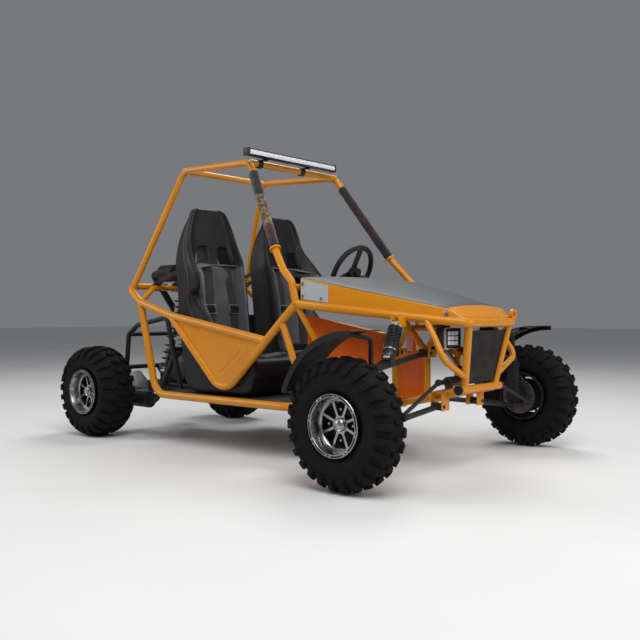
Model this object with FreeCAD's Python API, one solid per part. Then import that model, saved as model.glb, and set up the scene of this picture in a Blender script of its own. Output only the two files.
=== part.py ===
import FreeCAD, Part
import math
import os

# An off-road buggy with two seats: a yellow tube cage, a rear engine on a live axle, wishbone front suspension.
# +X points forward, +Y to the left and +Z up. The origin is on the ground, midway between nose and tail.
# All sizes are in millimetres.

V = FreeCAD.Vector
X_AXIS = V(1, 0, 0)
Y_AXIS = V(0, 1, 0)
Z_AXIS = V(0, 0, 1)
RIGHT = -1
LEFT = 1

# Wheelbase, tracks and tyres
wheelbase = 1847.0
front_track = 1404.0
rear_track = 974.0
front_tyre_radius = 243.5
front_tyre_width = 156.0
rear_tyre_radius = 234.0
rear_tyre_width = 200.0
tread_crown_drop = 12.0
sidewall_inset = 9.0
bead_radius = 108.0
bead_thickness = 14.0

# Rims, hubs and brake discs
rim_flange_radius = 114.0
rim_flange_thickness = 7.0
rim_barrel_radius = 99.0
rim_wall = 4.0
rim_bead_inset = 10.0
spoke_disc_thickness = 8.0
spoke_disc_inset = 34.0
hub_cap_radius = 32.0
hub_cap_height = 20.0
hub_radius = 38.0
window_count = 8
window_radius_inner = 52.0
window_radius_outer = 84.0
window_width = 22.0
brake_disc_radius = 82.0
brake_disc_thickness = 5.0
brake_disc_offset = 62.0

# Running fits and small gaps
running_clearance = 0.05
seat_gap = 0.3
overrun = 5.0

# Frame tubes
main_tube_radius = 18.0
cage_tube_radius = 16.0
brace_tube_radius = 12.5
cross_tube_radius = 14.0
sill_z = 240.0
sill_y = 430.0
sill_rear_x = -510.0
sill_front_x = 385.0
sill_bend_radius = 90.0
rail_start_x = 650.0
rail_start_y = 118.0
nose_foot_x = 1057.0
nose_foot_y = 117.0
nose_foot_z = 334.0
rail_bend_radius = 120.0
rear_cross_x = -470.0
seat_cross_x = -120.0
front_cross_x = 300.0

# Side frames
junction_x = -631.0
junction_y = 432.0
junction_z = 694.0
door_rail_mid_x = -384.0
door_rail_mid_y = 438.0
door_rail_mid_z = 627.0
door_rail_end_x = 262.0
door_rail_end_y = 442.0
door_rail_end_z = 520.0
vee_bottom_x = -18.0
vee_bottom_z = 268.0
vee_bend_radius = 105.0
vee_upper_x = 365.0
vee_upper_y = 446.0
vee_upper_z = 606.0
joint_x = 455.0
joint_y = 455.0
joint_z = 677.0
pillar_foot_x = 430.0
pillar_foot_z = 771.0
pillar_bend_x = 376.0
pillar_bend_y = 449.0
pillar_bend_z = 822.0
pillar_flange_x = 301.0
pillar_flange_y = 418.0
pillar_flange_z = 912.0
pillar_bend_radius = 30.0
dash_bar_z = 748.0
strut_bend_radius = 60.0
strut_mid_x = 429.0
strut_mid_y = 440.0
strut_mid_z = 441.0
strut_foot_x = 440.0
rear_strut_foot_x = 560.0

# Rear hoop behind the seats
hoop_x = -742.0
hoop_y = 428.0
hoop_z = 777.0
hoop_bend_radius = 62.0
shoulder_x = -655.0
shoulder_y = 330.0
shoulder_z = 771.0
shoulder_bend_radius = 40.0

# Roof cage
roof_front_x = 28.5
roof_front_y = 304.0
roof_front_z = 1336.0
roof_rear_x = -474.0
roof_rear_y = 278.0
roof_rear_z = 1356.0
roof_bend_radius = 70.0
post_foot_x = -731.0
post_foot_y = 399.0
flange_radius = 26.0
flange_thickness = 8.0

# Nose frame
nose_top_x = 1109.0
nose_top_y = 187.0
nose_top_z = 601.0
nose_bend_radius = 45.0
hood_rail_mid_x = 838.0
hood_rail_mid_y = 300.0
hood_rail_mid_z = 631.0
hood_rail_rear_x = 550.0
hood_rail_rear_y = 400.0
hood_rail_rear_z = 664.0
nose_bar_half = 169.0
upright_top_y = 162.0
upright_top_x = 1103.0
brace_top_x = 958.0
brace_bend_x = 1067.0
brace_bend_y = 286.0
brace_bend_z = 458.0
brace_shoulder_x = 1021.0
brace_shoulder_y = 270.0
brace_shoulder_z = 533.0
brace_foot_z = 383.0
brace_bend_radius = 45.0
tower_apex_x = 792.0
tower_apex_z = 575.0
tower_front_x = 881.0
tower_rear_x = 720.0
tower_y = 120.0
nose_ear_radius = 22.0
nose_ear_rise = 15.0
nose_ear_hole_radius = 11.0
nose_ear_thickness = 12.0

# Front suspension
kingpin_y = 550.0
kingpin_radius = 10.0
upper_ball_z = 425.0
lower_ball_z = 205.0
ball_eye_radius = 20.0
ball_eye_height = 26.0
arm_tube_radius = 11.5
arm_pivot_y = 152.0
bushing_radius = 16.0
bushing_length = 44.0
bushing_bore_radius = 7.0
clevis_thickness = 5.0
upper_pivot_z = 475.0
lower_pivot_front_x = 955.0
lower_pivot_rear_x = 745.0
upper_pivot_front_x = 892.0
upper_pivot_rear_x = 748.0
lower_pivot_z = 262.0
spindle_radius = 12.5
knuckle_width = 46.0
knuckle_depth = 40.0
steer_arm_length = 88.0
steer_arm_thickness = 12.0
steer_arm_width = 28.0

# Front and rear shock absorbers
shock_top_x = 872.0
shock_top_y = 322.0
shock_top_z = 600.0
shock_foot_y = 430.0
shock_body_radius = 17.0
shock_rod_radius = 7.0
shock_neck_radius = 10.5
shock_eye_radius = 13.0
shock_eye_length = 32.0
spring_radius = 29.0
spring_wire_radius = 5.0
spring_end_gap = 31.0
perch_thickness = 4.0
rear_shock_foot_x = -800.0
pedestal_height = 80.0
pedestal_size = 30.0

# Steering
rack_x = 985.0
rack_z = 362.0
rack_bar_radius = 10.0
rack_housing_radius = 20.0
rack_housing_half = 132.0
rack_bar_half = 196.0
rack_saddle_width = 24.0
rack_ball_radius = 14.0
pinion_y = 30.0
pinion_boss_radius = 18.0
pinion_boss_length = 74.0
pinion_floor = 34.0
joint_gap = 16.0
tie_rod_radius = 8.0
tie_rod_eye_radius = 14.0
tie_rod_eye_height = 18.0
tie_rod_drop = 6.0
column_centre_y = 256.0
column_wheel_x = 183.0
column_wheel_z = 845.0
column_tilt = 26.8
column_shaft_radius = 9.0
column_tube_radius = 16.0
column_tube_start = 70.0
column_tube_length = 330.0
column_shaft_length = 430.0
steering_wheel_radius = 147.0
steering_rim_radius = 13.0
steering_hub_radius = 34.0
steering_hub_height = 30.0
steering_spoke_width = 34.0
steering_spoke_thickness = 6.0

# Mudguards
mudguard_radius = 330.0
mudguard_centre_dx = 72.0
mudguard_centre_z = 249.0
mudguard_start_angle = 88.0
mudguard_end_angle = 162.0
mudguard_thickness = 4.0
mudguard_inner_y = 602.0
mudguard_width = 176.0
mudguard_lip = 22.0
mudguard_stay_radius = 9.0

# Body panels
panel_thickness = 4.0
floor_thickness = 3.0
hood_front_x = 1107.0
hood_thickness = 3.0
hood_rear_half = 436.0
hood_rear_top_z = 790.0
hood_front_half = 92.0
hood_front_top_z = 645.0
hood_mid_x = 700.0
hood_mid_top_z = 735.0
dash_depth = 64.0
dash_top_z = 795.0
dash_face_low_z = 690.0
dash_thickness = 5.0
dash_half = 400.0
dash_rib_y = 330.0
footwell_rear_z = 632.0
footwell_front_z = 548.0
nose_plate_low_z = 358.0
nose_plate_high_z = 570.0
headlamp_size = 80.0
headlamp_depth = 62.0
headlamp_x = 1040.0
headlamp_y = 160.0
headlamp_z = 540.0

# Seats and harness
seat_y = 250.0
seat_cushion_width = 320.0
seat_lip_x = 120.0
seat_lip_z = 428.0
seat_hip_x = -190.0
seat_hip_z = 385.0
seat_top_x = -330.0
seat_top_z = 1153.0
seat_back_thickness = 85.0
seat_hole_z = 905.0
seat_hole_width = 95.0
seat_hole_height = 44.0
seat_hole_spacing = 134.0
strap_width = 50.0
strap_thickness = 3.0

# Lamps on the roof
light_bar_length = 620.0
light_bar_height = 48.0
light_bar_depth = 62.0
light_bar_x = 62.0
light_bar_z = 1379.0
light_bar_fin_count = 12
bar_bracket_y = 155.0
bar_bracket_width = 30.0
pad_radius = 33.0
pad_start_x = 100.0
pad_length = 370.0

# Engine, exhaust and tank
crankcase_x = -725.0
crankcase_length = 210.0
crankcase_width = 230.0
crankcase_height = 170.0
cylinder_size = 130.0
cylinder_height = 190.0
fin_count = 7
fin_thickness = 5.0
fin_reach = 14.0
pod_x = -700.0
pod_y = -190.0
pod_z = 850.0
pod_radius = 45.0
pod_length = 110.0
intake_radius = 18.0
intake_bend_x = -845.0
intake_bend_radius = 30.0
muffler_front_x = -695.0
muffler_y = -325.0
muffler_z = 190.0
muffler_radius = 42.0
muffler_length = 175.0
exhaust_knee_x = -612.0
exhaust_knee_y = -240.0
exhaust_knee_z = 400.0
exhaust_radius = 16.0
tank_x = -545.0
tank_y = 150.0
tank_base_z = 470.0
tank_length = 150.0
tank_width = 240.0
tank_height = 160.0
guard_y = 300.0
guard_tube_radius = 13.0
guard_bend_radius = 32.0
guard_front_x = -587.0
guard_front_z = 617.0
guard_crest_x = -832.0
guard_crest_z = 574.0
guard_tail_x = -911.0
guard_tail_z = 525.0
guard_low_x = -931.0
guard_low_z = 348.0
cradle_y = 90.0
cradle_z = 261.0
cradle_rear_x = -850.0

# Rear axle and swing arm
axle_radius = 15.0
carrier_radius = 36.0
carrier_half = 165.0
swing_pivot_x = -500.0
swing_pivot_z = 225.0
swing_pivot_half = 190.0
swing_ear_thickness = 8.0
swing_arm_y = 150.0
swing_tube_radius = 17.0
sprocket_radius = 92.0
sprocket_thickness = 8.0
sprocket_y = 205.0
rear_disc_radius = 92.0
rear_disc_y = 232.0

# Places that follow from the sizes above
front_axle_x = (wheelbase + rear_tyre_radius - front_tyre_radius) / 2
rear_axle_x = front_axle_x - wheelbase
front_wheel_y = front_track / 2
rear_wheel_y = rear_track / 2
front_rim_width = front_tyre_width - rim_bead_inset
rear_rim_width = rear_tyre_width - rim_bead_inset
front_axle_z = front_tyre_radius
rear_axle_z = rear_tyre_radius


# Shared shapes

def mirrored(point, side):
    """The point with its Y on the given side."""
    return V(point.x, side * point.y, point.z)


def rod(start, end, radius):
    """Round bar from start to end."""
    run = end - start
    return Part.makeCylinder(radius, run.Length, start, run)


def bent_tube(points, radius, bend_radius):
    """Round tube through the points, with an arc tangent to both runs at each inner point."""
    edges = []
    start = points[0]
    for before, corner, after in zip(points, points[1:], points[2:]):
        inward = (corner - before).normalize()
        outward = (after - corner).normalize()
        turn = inward.getAngle(outward)
        trim = bend_radius * math.tan(turn / 2)
        arc_start = corner - inward * trim
        arc_end = corner + outward * trim
        towards_centre = (outward - inward).normalize()
        sagitta = bend_radius / math.cos(turn / 2) - bend_radius
        arc_middle = corner + towards_centre * sagitta
        edges.append(Part.LineSegment(start, arc_start).toShape())
        edges.append(Part.Arc(arc_start, arc_middle, arc_end).toShape())
        start = arc_end
    edges.append(Part.LineSegment(start, points[-1]).toShape())
    path = Part.Wire(edges)
    section = Part.Wire(Part.makeCircle(radius, points[0], points[1] - points[0]))
    return path.makePipe(Part.Face(section))


def block(centre, length, width, height):
    """Box with its centre at the point."""
    corner = centre - V(length / 2, width / 2, height / 2)
    return Part.makeBox(length, width, height, corner)


def plate_from(points, thickness, direction):
    """Flat plate with the given corners, as thick as asked along the direction."""
    face = Part.Face(Part.makePolygon(points + [points[0]]))
    return face.extrude(direction * thickness)


def revolved(profile, centre, axis=Y_AXIS):
    """Ring from (along, radius) pairs, turned about an axis parallel to Y through the centre."""
    corners = []
    for along, radius in profile:
        corners.append(centre + V(0, along, radius))
    face = Part.Face(Part.makePolygon(corners + [corners[0]]))
    return face.revolve(centre, axis, 360)


def joined(shapes):
    """All shapes as one solid."""
    whole = shapes[0]
    for shape in shapes[1:]:
        whole = whole.fuse(shape)
    return whole.removeSplitter()


def fitted(shape, neighbours):
    """The largest solid that is left when the shape is coped to the pieces that it meets."""
    return max(shape.cut(neighbours).Solids, key=lambda solid: solid.Volume)


# Tube frame

junction = V(junction_x, junction_y, junction_z)
pillar_joint = V(joint_x, joint_y, joint_z)
pillar_flange = V(pillar_flange_x, pillar_flange_y, pillar_flange_z)
hood_rail_rear = V(hood_rail_rear_x, hood_rail_rear_y, hood_rail_rear_z)
hood_rail_mid = V(hood_rail_mid_x, hood_rail_mid_y, hood_rail_mid_z)
nose_top = V(nose_top_x, nose_top_y, nose_top_z)
nose_foot = V(nose_foot_x, nose_foot_y, nose_foot_z)
upright_top = V(upright_top_x, upright_top_y, nose_top_z)


def between(first, second, share):
    """The point at this share of the way from first to second."""
    return first + (second - first) * share


def at_x(first, second, x):
    """The point of the straight run from first to second that has this X."""
    return between(first, second, (x - first.x) / (second.x - first.x))


def at_z(first, second, z):
    """The point of the straight run from first to second that has this Z."""
    return between(first, second, (z - first.z) / (second.z - first.z))


def sill_point(x):
    """A point of the sill where it turns in towards the nose."""
    turn_start = V(sill_front_x, sill_y, sill_z)
    turn_end = V(rail_start_x, rail_start_y, sill_z)
    return at_x(turn_start, turn_end, x)


def base_frame():
    """Sills with their rear uprights and nose rails, joined by cross tubes."""
    tubes = []
    for side in (RIGHT, LEFT):
        route = [
            junction,
            V(sill_rear_x, sill_y, sill_z),
            V(sill_front_x, sill_y, sill_z),
            V(rail_start_x, rail_start_y, sill_z),
            nose_foot,
        ]
        tubes.append(bent_tube([mirrored(p, side) for p in route], main_tube_radius, sill_bend_radius))
    for x in (rear_cross_x, seat_cross_x, front_cross_x):
        tubes.append(rod(V(x, -sill_y, sill_z), V(x, sill_y, sill_z), cross_tube_radius))
    ear_length = rear_cross_x - swing_pivot_x + 2 * swing_tube_radius
    ear_height = sill_z - swing_pivot_z + 2 * swing_tube_radius
    for side in (RIGHT, LEFT):
        ear_centre = V(
            (rear_cross_x + swing_pivot_x) / 2,
            side * (swing_pivot_half + swing_ear_thickness / 2),
            (sill_z + swing_pivot_z) / 2,
        )
        tubes.append(block(ear_centre, ear_length, swing_ear_thickness, ear_height))
    return joined(tubes)


def side_frame(side):
    """Door triangle, windscreen pillar foot and struts of one side."""
    rail_mid = V(door_rail_mid_x, door_rail_mid_y, door_rail_mid_z)
    rail_end = V(door_rail_end_x, door_rail_end_y, door_rail_end_z)
    vee_upper = V(vee_upper_x, vee_upper_y, vee_upper_z)
    routes = [
        ([junction, rail_mid, rail_end], main_tube_radius, vee_bend_radius),
        (
            [rail_mid, V(vee_bottom_x, sill_y, vee_bottom_z), vee_upper, pillar_joint],
            main_tube_radius,
            vee_bend_radius,
        ),
        (
            [
                pillar_joint,
                V(pillar_foot_x, joint_y, pillar_foot_z),
                V(pillar_bend_x, pillar_bend_y, pillar_bend_z),
                pillar_flange,
            ],
            cage_tube_radius,
            pillar_bend_radius,
        ),
        (
            [vee_upper, V(strut_mid_x, strut_mid_y, strut_mid_z), sill_point(strut_foot_x)],
            cross_tube_radius,
            strut_bend_radius,
        ),
        ([pillar_joint, sill_point(rear_strut_foot_x)], brace_tube_radius, strut_bend_radius),
    ]
    tubes = [bent_tube([mirrored(p, side) for p in run], radius, bend) for run, radius, bend in routes]
    return joined(tubes)


def rear_hoop():
    """Hoop behind the seats, with the shoulder tube that the harness wraps."""
    hoop_corner = V(hoop_x, hoop_y, hoop_z)
    shoulder = V(shoulder_x, shoulder_y, shoulder_z)
    hoop = [junction, hoop_corner]
    hoop_route = [mirrored(p, RIGHT) for p in hoop] + [mirrored(p, LEFT) for p in reversed(hoop)]
    shoulder_run = [junction, shoulder]
    shoulder_route = [mirrored(p, RIGHT) for p in shoulder_run]
    shoulder_route += [mirrored(p, LEFT) for p in reversed(shoulder_run)]
    return joined([
        bent_tube(hoop_route, main_tube_radius, hoop_bend_radius),
        bent_tube(shoulder_route, cross_tube_radius, shoulder_bend_radius),
    ])


def roof_cage():
    """Roof rails that run from the pillar flanges over the seats to the rear hoop."""
    roof_front = V(roof_front_x, roof_front_y, roof_front_z)
    roof_rear = V(roof_rear_x, roof_rear_y, roof_rear_z)
    post_foot = V(post_foot_x, post_foot_y, hoop_z)
    tubes = []
    for side in (RIGHT, LEFT):
        route = [pillar_flange, roof_front, roof_rear, post_foot]
        tubes.append(bent_tube([mirrored(p, side) for p in route], cage_tube_radius, roof_bend_radius))
        run = (roof_front - pillar_flange).normalize()
        flange_end = mirrored(pillar_flange + run * flange_thickness, side)
        tubes.append(rod(mirrored(pillar_flange, side), flange_end, flange_radius))
    front_drop = V(roof_front_x, roof_front_y, roof_front_z)
    tubes.append(rod(mirrored(front_drop, RIGHT), mirrored(front_drop, LEFT), cage_tube_radius))
    tubes.append(rod(mirrored(roof_rear, RIGHT), mirrored(roof_rear, LEFT), cage_tube_radius))
    return joined(tubes)


def nose_frame():
    """Hood rails, nose uprights, lamp braces and the towers that carry the wishbones."""
    hood_rail = [pillar_joint, hood_rail_rear, hood_rail_mid, nose_top]
    route = [mirrored(p, RIGHT) for p in hood_rail] + [mirrored(p, LEFT) for p in reversed(hood_rail)]
    tubes = [bent_tube(route, main_tube_radius, nose_bend_radius)]
    bar_z = nose_foot_z
    tubes.append(rod(V(nose_foot_x, -nose_bar_half, bar_z), V(nose_foot_x, nose_bar_half, bar_z), cage_tube_radius))
    for side in (RIGHT, LEFT):
        tubes.append(rod(mirrored(nose_foot, side), mirrored(upright_top, side), cage_tube_radius))
        brace = [
            at_x(hood_rail_mid, nose_top, brace_top_x),
            V(brace_shoulder_x, brace_shoulder_y, brace_shoulder_z),
            V(brace_bend_x, brace_bend_y, brace_bend_z),
            at_z(nose_foot, upright_top, brace_foot_z),
        ]
        tubes.append(bent_tube([mirrored(p, side) for p in brace], brace_tube_radius, brace_bend_radius))
        rail_start = V(rail_start_x, rail_start_y, sill_z)
        front_foot = at_x(rail_start, nose_foot, tower_front_x)
        rear_foot = at_x(rail_start, nose_foot, tower_rear_x)
        front_top = V(tower_front_x, tower_y, upper_pivot_z)
        rear_top = V(tower_rear_x, tower_y, upper_pivot_z)
        apex = V(tower_apex_x, tower_y, tower_apex_z)
        for start, end in ((front_foot, front_top), (rear_foot, rear_top), (front_top, apex), (rear_top, apex)):
            tubes.append(rod(mirrored(start, side), mirrored(end, side), cross_tube_radius))
        tubes.append(rod(mirrored(apex, side), mirrored(hood_rail_mid, side), cross_tube_radius))
        tubes += clevis(shock_top(side), at_x(hood_rail_mid, nose_top, shock_top_x), side)
        for pivot in wishbone_pivots():
            post = V(pivot.x, tower_y, pivot.z)
            tubes += clevis(mirrored(pivot, side), post, side, bushing_length, bushing_radius)
        low_front = V(lower_pivot_front_x, tower_y, lower_pivot_z)
        tubes.append(rod(mirrored(low_front, side), mirrored(at_x(rail_start, nose_foot, low_front.x), side), cross_tube_radius))
        low_rear = V(lower_pivot_rear_x, tower_y, lower_pivot_z)
        tubes.append(rod(mirrored(low_rear, side), mirrored(at_x(rail_start, nose_foot, low_rear.x), side), cross_tube_radius))
    tubes.append(rod(V(tower_apex_x, -tower_y, tower_apex_z), V(tower_apex_x, tower_y, tower_apex_z), cross_tube_radius))
    tubes.append(nose_ear())
    return joined(tubes)


def clevis(pin, post, side, gap=shock_eye_length, eye_radius=shock_eye_radius):
    """Two plates, one at each end of an eye along X, from the eye to the tube that carries them."""
    carrier = mirrored(post, side)
    low_y = min(side * pin.y + eye_radius, side * carrier.y)
    high_y = max(side * pin.y + eye_radius, side * carrier.y)
    low_z = min(pin.z - eye_radius, carrier.z)
    high_z = max(pin.z + eye_radius, carrier.z)
    plates = []
    for offset in (-gap / 2 - clevis_thickness, gap / 2):
        corner = V(pin.x + offset, low_y, low_z)
        if side == RIGHT:
            corner = V(pin.x + offset, -high_y, low_z)
        plates.append(Part.makeBox(clevis_thickness, high_y - low_y, high_z - low_z, corner))
    return plates


def wishbone_pivots():
    """Inner pivots of the left wishbones: upper front and rear, then lower front and rear."""
    return [
        V(upper_pivot_front_x, arm_pivot_y, upper_pivot_z),
        V(upper_pivot_rear_x, arm_pivot_y, upper_pivot_z),
        V(lower_pivot_front_x, arm_pivot_y, lower_pivot_z),
        V(lower_pivot_rear_x, arm_pivot_y, lower_pivot_z),
    ]


def shock_top(side):
    """Centre of the upper eye of a front shock absorber."""
    return V(shock_top_x, side * shock_top_y, shock_top_z)


def shock_foot(side):
    """Centre of the lower eye of a front shock absorber, on the front tube of the upper wishbone."""
    pivot = V(upper_pivot_front_x, arm_pivot_y, upper_pivot_z)
    ball = V(front_axle_x, kingpin_y, upper_ball_z)
    on_arm = between(pivot, ball, (shock_foot_y - arm_pivot_y) / (kingpin_y - arm_pivot_y))
    return mirrored(on_arm + Z_AXIS * (arm_tube_radius + clevis_thickness + shock_eye_radius), side)


def dash_bar():
    """Cross tube between the feet of the windscreen pillars."""
    foot = at_z(pillar_joint, V(pillar_foot_x, joint_y, pillar_foot_z), dash_bar_z)
    return rod(mirrored(foot, RIGHT), mirrored(foot, LEFT), cross_tube_radius)


def nose_ear():
    """Eye on the left nose corner for a tow strap."""
    centre = V(nose_top_x, nose_top_y, nose_top_z + main_tube_radius + nose_ear_rise)
    start = centre - X_AXIS * (nose_ear_thickness / 2)
    ear = Part.makeCylinder(nose_ear_radius, nose_ear_thickness, start, X_AXIS)
    hole = Part.makeCylinder(nose_ear_hole_radius, nose_ear_thickness + 2 * overrun, start - X_AXIS * overrun, X_AXIS)
    return ear.cut(hole)


# Wheels

def tyre(centre, radius, width):
    """Tyre out to its lug tips, hollow between its beads."""
    half = width / 2
    crown = radius - tread_crown_drop
    wall = bead_thickness
    profile = [
        (-half + sidewall_inset * 2, bead_radius),
        (-half + wall / 2, bead_radius + wall),
        (-half, (bead_radius + radius) / 2),
        (-half + sidewall_inset, crown),
        (-half + sidewall_inset * 3, radius - tread_crown_drop / 4),
        (-sidewall_inset, radius),
        (sidewall_inset, radius),
        (half - sidewall_inset * 3, radius - tread_crown_drop / 4),
        (half - sidewall_inset, crown),
        (half, (bead_radius + radius) / 2),
        (half - wall / 2, bead_radius + wall),
        (half - sidewall_inset * 2, bead_radius),
        (half - sidewall_inset * 2 - wall, bead_radius),
        (half - wall, (bead_radius + radius) / 2),
        (half - wall - sidewall_inset, crown - wall),
        (-half + wall + sidewall_inset, crown - wall),
        (-half + wall, (bead_radius + radius) / 2),
        (-half + sidewall_inset * 2 + wall, bead_radius),
    ]
    return revolved(profile, centre)


def rim(centre, width, outward, bore_radius, hub_inner, hub_outer):
    """Wheel with a flanged barrel, a spoke disc cut by windows, and a hub on its bore."""
    half = width / 2
    seat = bead_radius - seat_gap
    barrel = [
        (-half, rim_flange_radius),
        (-half + rim_flange_thickness, rim_flange_radius),
        (-half + rim_flange_thickness + rim_wall, seat),
        (-half + half / 2, seat),
        (-half + half / 2 + rim_wall, rim_barrel_radius),
        (half / 2 - rim_wall, rim_barrel_radius),
        (half / 2, seat),
        (half - rim_flange_thickness - rim_wall, seat),
        (half - rim_flange_thickness, rim_flange_radius),
        (half, rim_flange_radius),
        (half, seat - rim_wall),
        (half / 2, seat - rim_wall),
        (half / 2 - rim_wall, rim_barrel_radius - rim_wall),
        (-half / 2 + rim_wall, rim_barrel_radius - rim_wall),
        (-half / 2, seat - rim_wall),
        (-half, seat - rim_wall),
    ]
    shell = revolved(barrel, centre)
    disc_y = outward * (half - spoke_disc_inset)
    disc_start = centre + Y_AXIS * (disc_y - spoke_disc_thickness / 2)
    disc = Part.makeCylinder(seat - rim_wall / 2, spoke_disc_thickness, disc_start, Y_AXIS)
    cuts = []
    for index in range(window_count):
        slot = window_slot(disc_start)
        slot.rotate(centre, Y_AXIS, 360 / window_count * index)
        cuts.append(slot)
    disc = disc.cut(cuts)
    hub_start = centre + Y_AXIS * min(outward * hub_inner, outward * hub_outer)
    hub = Part.makeCylinder(hub_radius, abs(hub_outer - hub_inner), hub_start, Y_AXIS)
    cap_start = centre + Y_AXIS * (outward * hub_outer)
    cap = Part.makeCone(hub_radius, hub_cap_radius, hub_cap_height, cap_start, Y_AXIS * outward)
    bore_start = centre + Y_AXIS * (outward * (hub_inner - overrun))
    bore = Part.makeCylinder(bore_radius, hub_outer - hub_inner + overrun, bore_start, Y_AXIS * outward)
    return joined([shell, disc, hub, cap]).cut(bore)


def window_slot(disc_start):
    """Cutter for one window of the spoke disc, at the top of the wheel."""
    depth = spoke_disc_thickness + 2 * overrun
    low = disc_start + V(-window_width / 2, -overrun, window_radius_inner)
    return Part.makeBox(window_width, depth, window_radius_outer - window_radius_inner, low)


def front_wheel(side):
    """Front rim with its hub and brake disc."""
    centre = V(front_axle_x, side * front_wheel_y, front_axle_z)
    hub_inner = -(front_wheel_y - kingpin_y) + knuckle_width / 2 + overrun
    hub_outer = front_rim_width / 2 - spoke_disc_inset + spoke_disc_thickness
    wheel = rim(centre, front_rim_width, side, spindle_radius + running_clearance, hub_inner, hub_outer)
    disc_start = centre - Y_AXIS * (side * (brake_disc_offset + front_rim_width / 4))
    disc = Part.makeCylinder(brake_disc_radius, brake_disc_thickness, disc_start, Y_AXIS * side)
    disc = disc.cut(Part.makeCylinder(hub_radius - 1, brake_disc_thickness, disc_start, Y_AXIS * side))
    return joined([wheel, disc])


def front_tyre(side):
    """Front tyre."""
    return tyre(V(front_axle_x, side * front_wheel_y, front_axle_z), front_tyre_radius, front_tyre_width)


def rear_wheels():
    """Both rear rims, pressed on the live axle."""
    rims = []
    for side in (RIGHT, LEFT):
        centre = V(rear_axle_x, side * rear_wheel_y, rear_axle_z)
        hub_outer = rear_rim_width / 2 - spoke_disc_inset + spoke_disc_thickness
        rims.append(rim(centre, rear_rim_width, side, axle_radius + running_clearance, -rear_rim_width / 2, hub_outer))
    return Part.makeCompound(rims)


def rear_tyres():
    """Both rear tyres."""
    tyres = []
    for side in (RIGHT, LEFT):
        centre = V(rear_axle_x, side * rear_wheel_y, rear_axle_z)
        tyres.append(tyre(centre, rear_tyre_radius, rear_tyre_width))
    return Part.makeCompound(tyres)


def rear_axle():
    """Live axle with its sprocket and brake disc."""
    half = rear_wheel_y + rear_rim_width / 2 - spoke_disc_inset + spoke_disc_thickness
    shaft = rod(V(rear_axle_x, -half, rear_axle_z), V(rear_axle_x, half, rear_axle_z), axle_radius)
    sprocket_start = V(rear_axle_x, sprocket_y, rear_axle_z)
    sprocket = Part.makeCylinder(sprocket_radius, sprocket_thickness, sprocket_start, Y_AXIS)
    disc_start = V(rear_axle_x, -rear_disc_y, rear_axle_z)
    disc = Part.makeCylinder(rear_disc_radius, brake_disc_thickness, disc_start, Y_AXIS)
    return joined([shaft, sprocket, disc])


# Front suspension and steering

def knuckle(side):
    """Upright on its kingpin, with the wheel spindle and the steering arm."""
    centre = V(front_axle_x, side * kingpin_y, front_axle_z)
    pin_low = V(front_axle_x, side * kingpin_y, lower_ball_z - ball_eye_height)
    pin_high = V(front_axle_x, side * kingpin_y, upper_ball_z + ball_eye_height)
    pin = rod(pin_low, pin_high, kingpin_radius)
    body_low = lower_ball_z + ball_eye_height / 2 + overrun
    body_high = upper_ball_z - ball_eye_height / 2 - overrun
    body_centre = V(centre.x, centre.y, (body_low + body_high) / 2)
    body = block(body_centre, knuckle_depth, knuckle_width, body_high - body_low)
    spindle_end = V(front_axle_x, side * (front_wheel_y + front_rim_width / 2 - spoke_disc_inset), front_axle_z)
    spindle = rod(centre, spindle_end, spindle_radius)
    arm_end = centre + X_AXIS * steer_arm_length
    arm = block(
        between(centre, arm_end, 1 / 2),
        steer_arm_length,
        steer_arm_width,
        steer_arm_thickness,
    )
    eye_start = arm_end - Z_AXIS * (steer_arm_thickness / 2)
    eye = Part.makeCylinder(steer_arm_width / 2, steer_arm_thickness, eye_start, Z_AXIS)
    return joined([pin, body, spindle, arm, eye])


def pivot_bushing(centre):
    """Bushing of a wishbone, along X, with a bolt hole."""
    start = centre - X_AXIS * (bushing_length / 2)
    bushing = Part.makeCylinder(bushing_radius, bushing_length, start, X_AXIS)
    hole = Part.makeCylinder(bushing_bore_radius, bushing_length, start, X_AXIS)
    return bushing, hole


def wishbone(side, front_pivot, rear_pivot, ball):
    """A-arm from two bushings to the kingpin eye."""
    shapes = []
    holes = []
    for pivot in (front_pivot, rear_pivot):
        place = mirrored(pivot, side)
        bushing, hole = pivot_bushing(place)
        shapes.append(bushing)
        holes.append(hole)
        shapes.append(rod(place, mirrored(ball, side), arm_tube_radius))
    eye_start = mirrored(ball, side) - Z_AXIS * (ball_eye_height / 2)
    shapes.append(Part.makeCylinder(ball_eye_radius, ball_eye_height, eye_start, Z_AXIS))
    bore_start = mirrored(ball, side) - Z_AXIS * ball_eye_height
    holes.append(
        Part.makeCylinder(kingpin_radius + running_clearance, 2 * ball_eye_height, bore_start, Z_AXIS)
    )
    return joined(shapes).cut(holes)


def front_arms():
    """Upper and lower wishbones of both sides."""
    arms = []
    for side in (RIGHT, LEFT):
        upper_front, upper_rear, lower_front, lower_rear = wishbone_pivots()
        upper_ball = V(front_axle_x, kingpin_y, upper_ball_z)
        foot = shock_foot(side)
        saddle_height = arm_tube_radius + clevis_thickness
        saddle_centre = foot - Z_AXIS * (shock_eye_radius + saddle_height / 2)
        saddle_length = shock_eye_length + 2 * clevis_thickness
        saddle = block(saddle_centre, saddle_length, 2 * shock_eye_radius, saddle_height)
        ears = block(foot, saddle_length, 2 * shock_eye_radius, 2 * shock_eye_radius)
        ears = ears.cut(block(foot, shock_eye_length, 2 * shock_eye_radius, 2 * shock_eye_radius))
        upper = wishbone(side, upper_front, upper_rear, upper_ball)
        arms.append(joined([upper, saddle] + ears.Solids))
        lower_ball = V(front_axle_x, kingpin_y, lower_ball_z)
        arms.append(wishbone(side, lower_front, lower_rear, lower_ball))
    return Part.makeCompound(arms)


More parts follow.
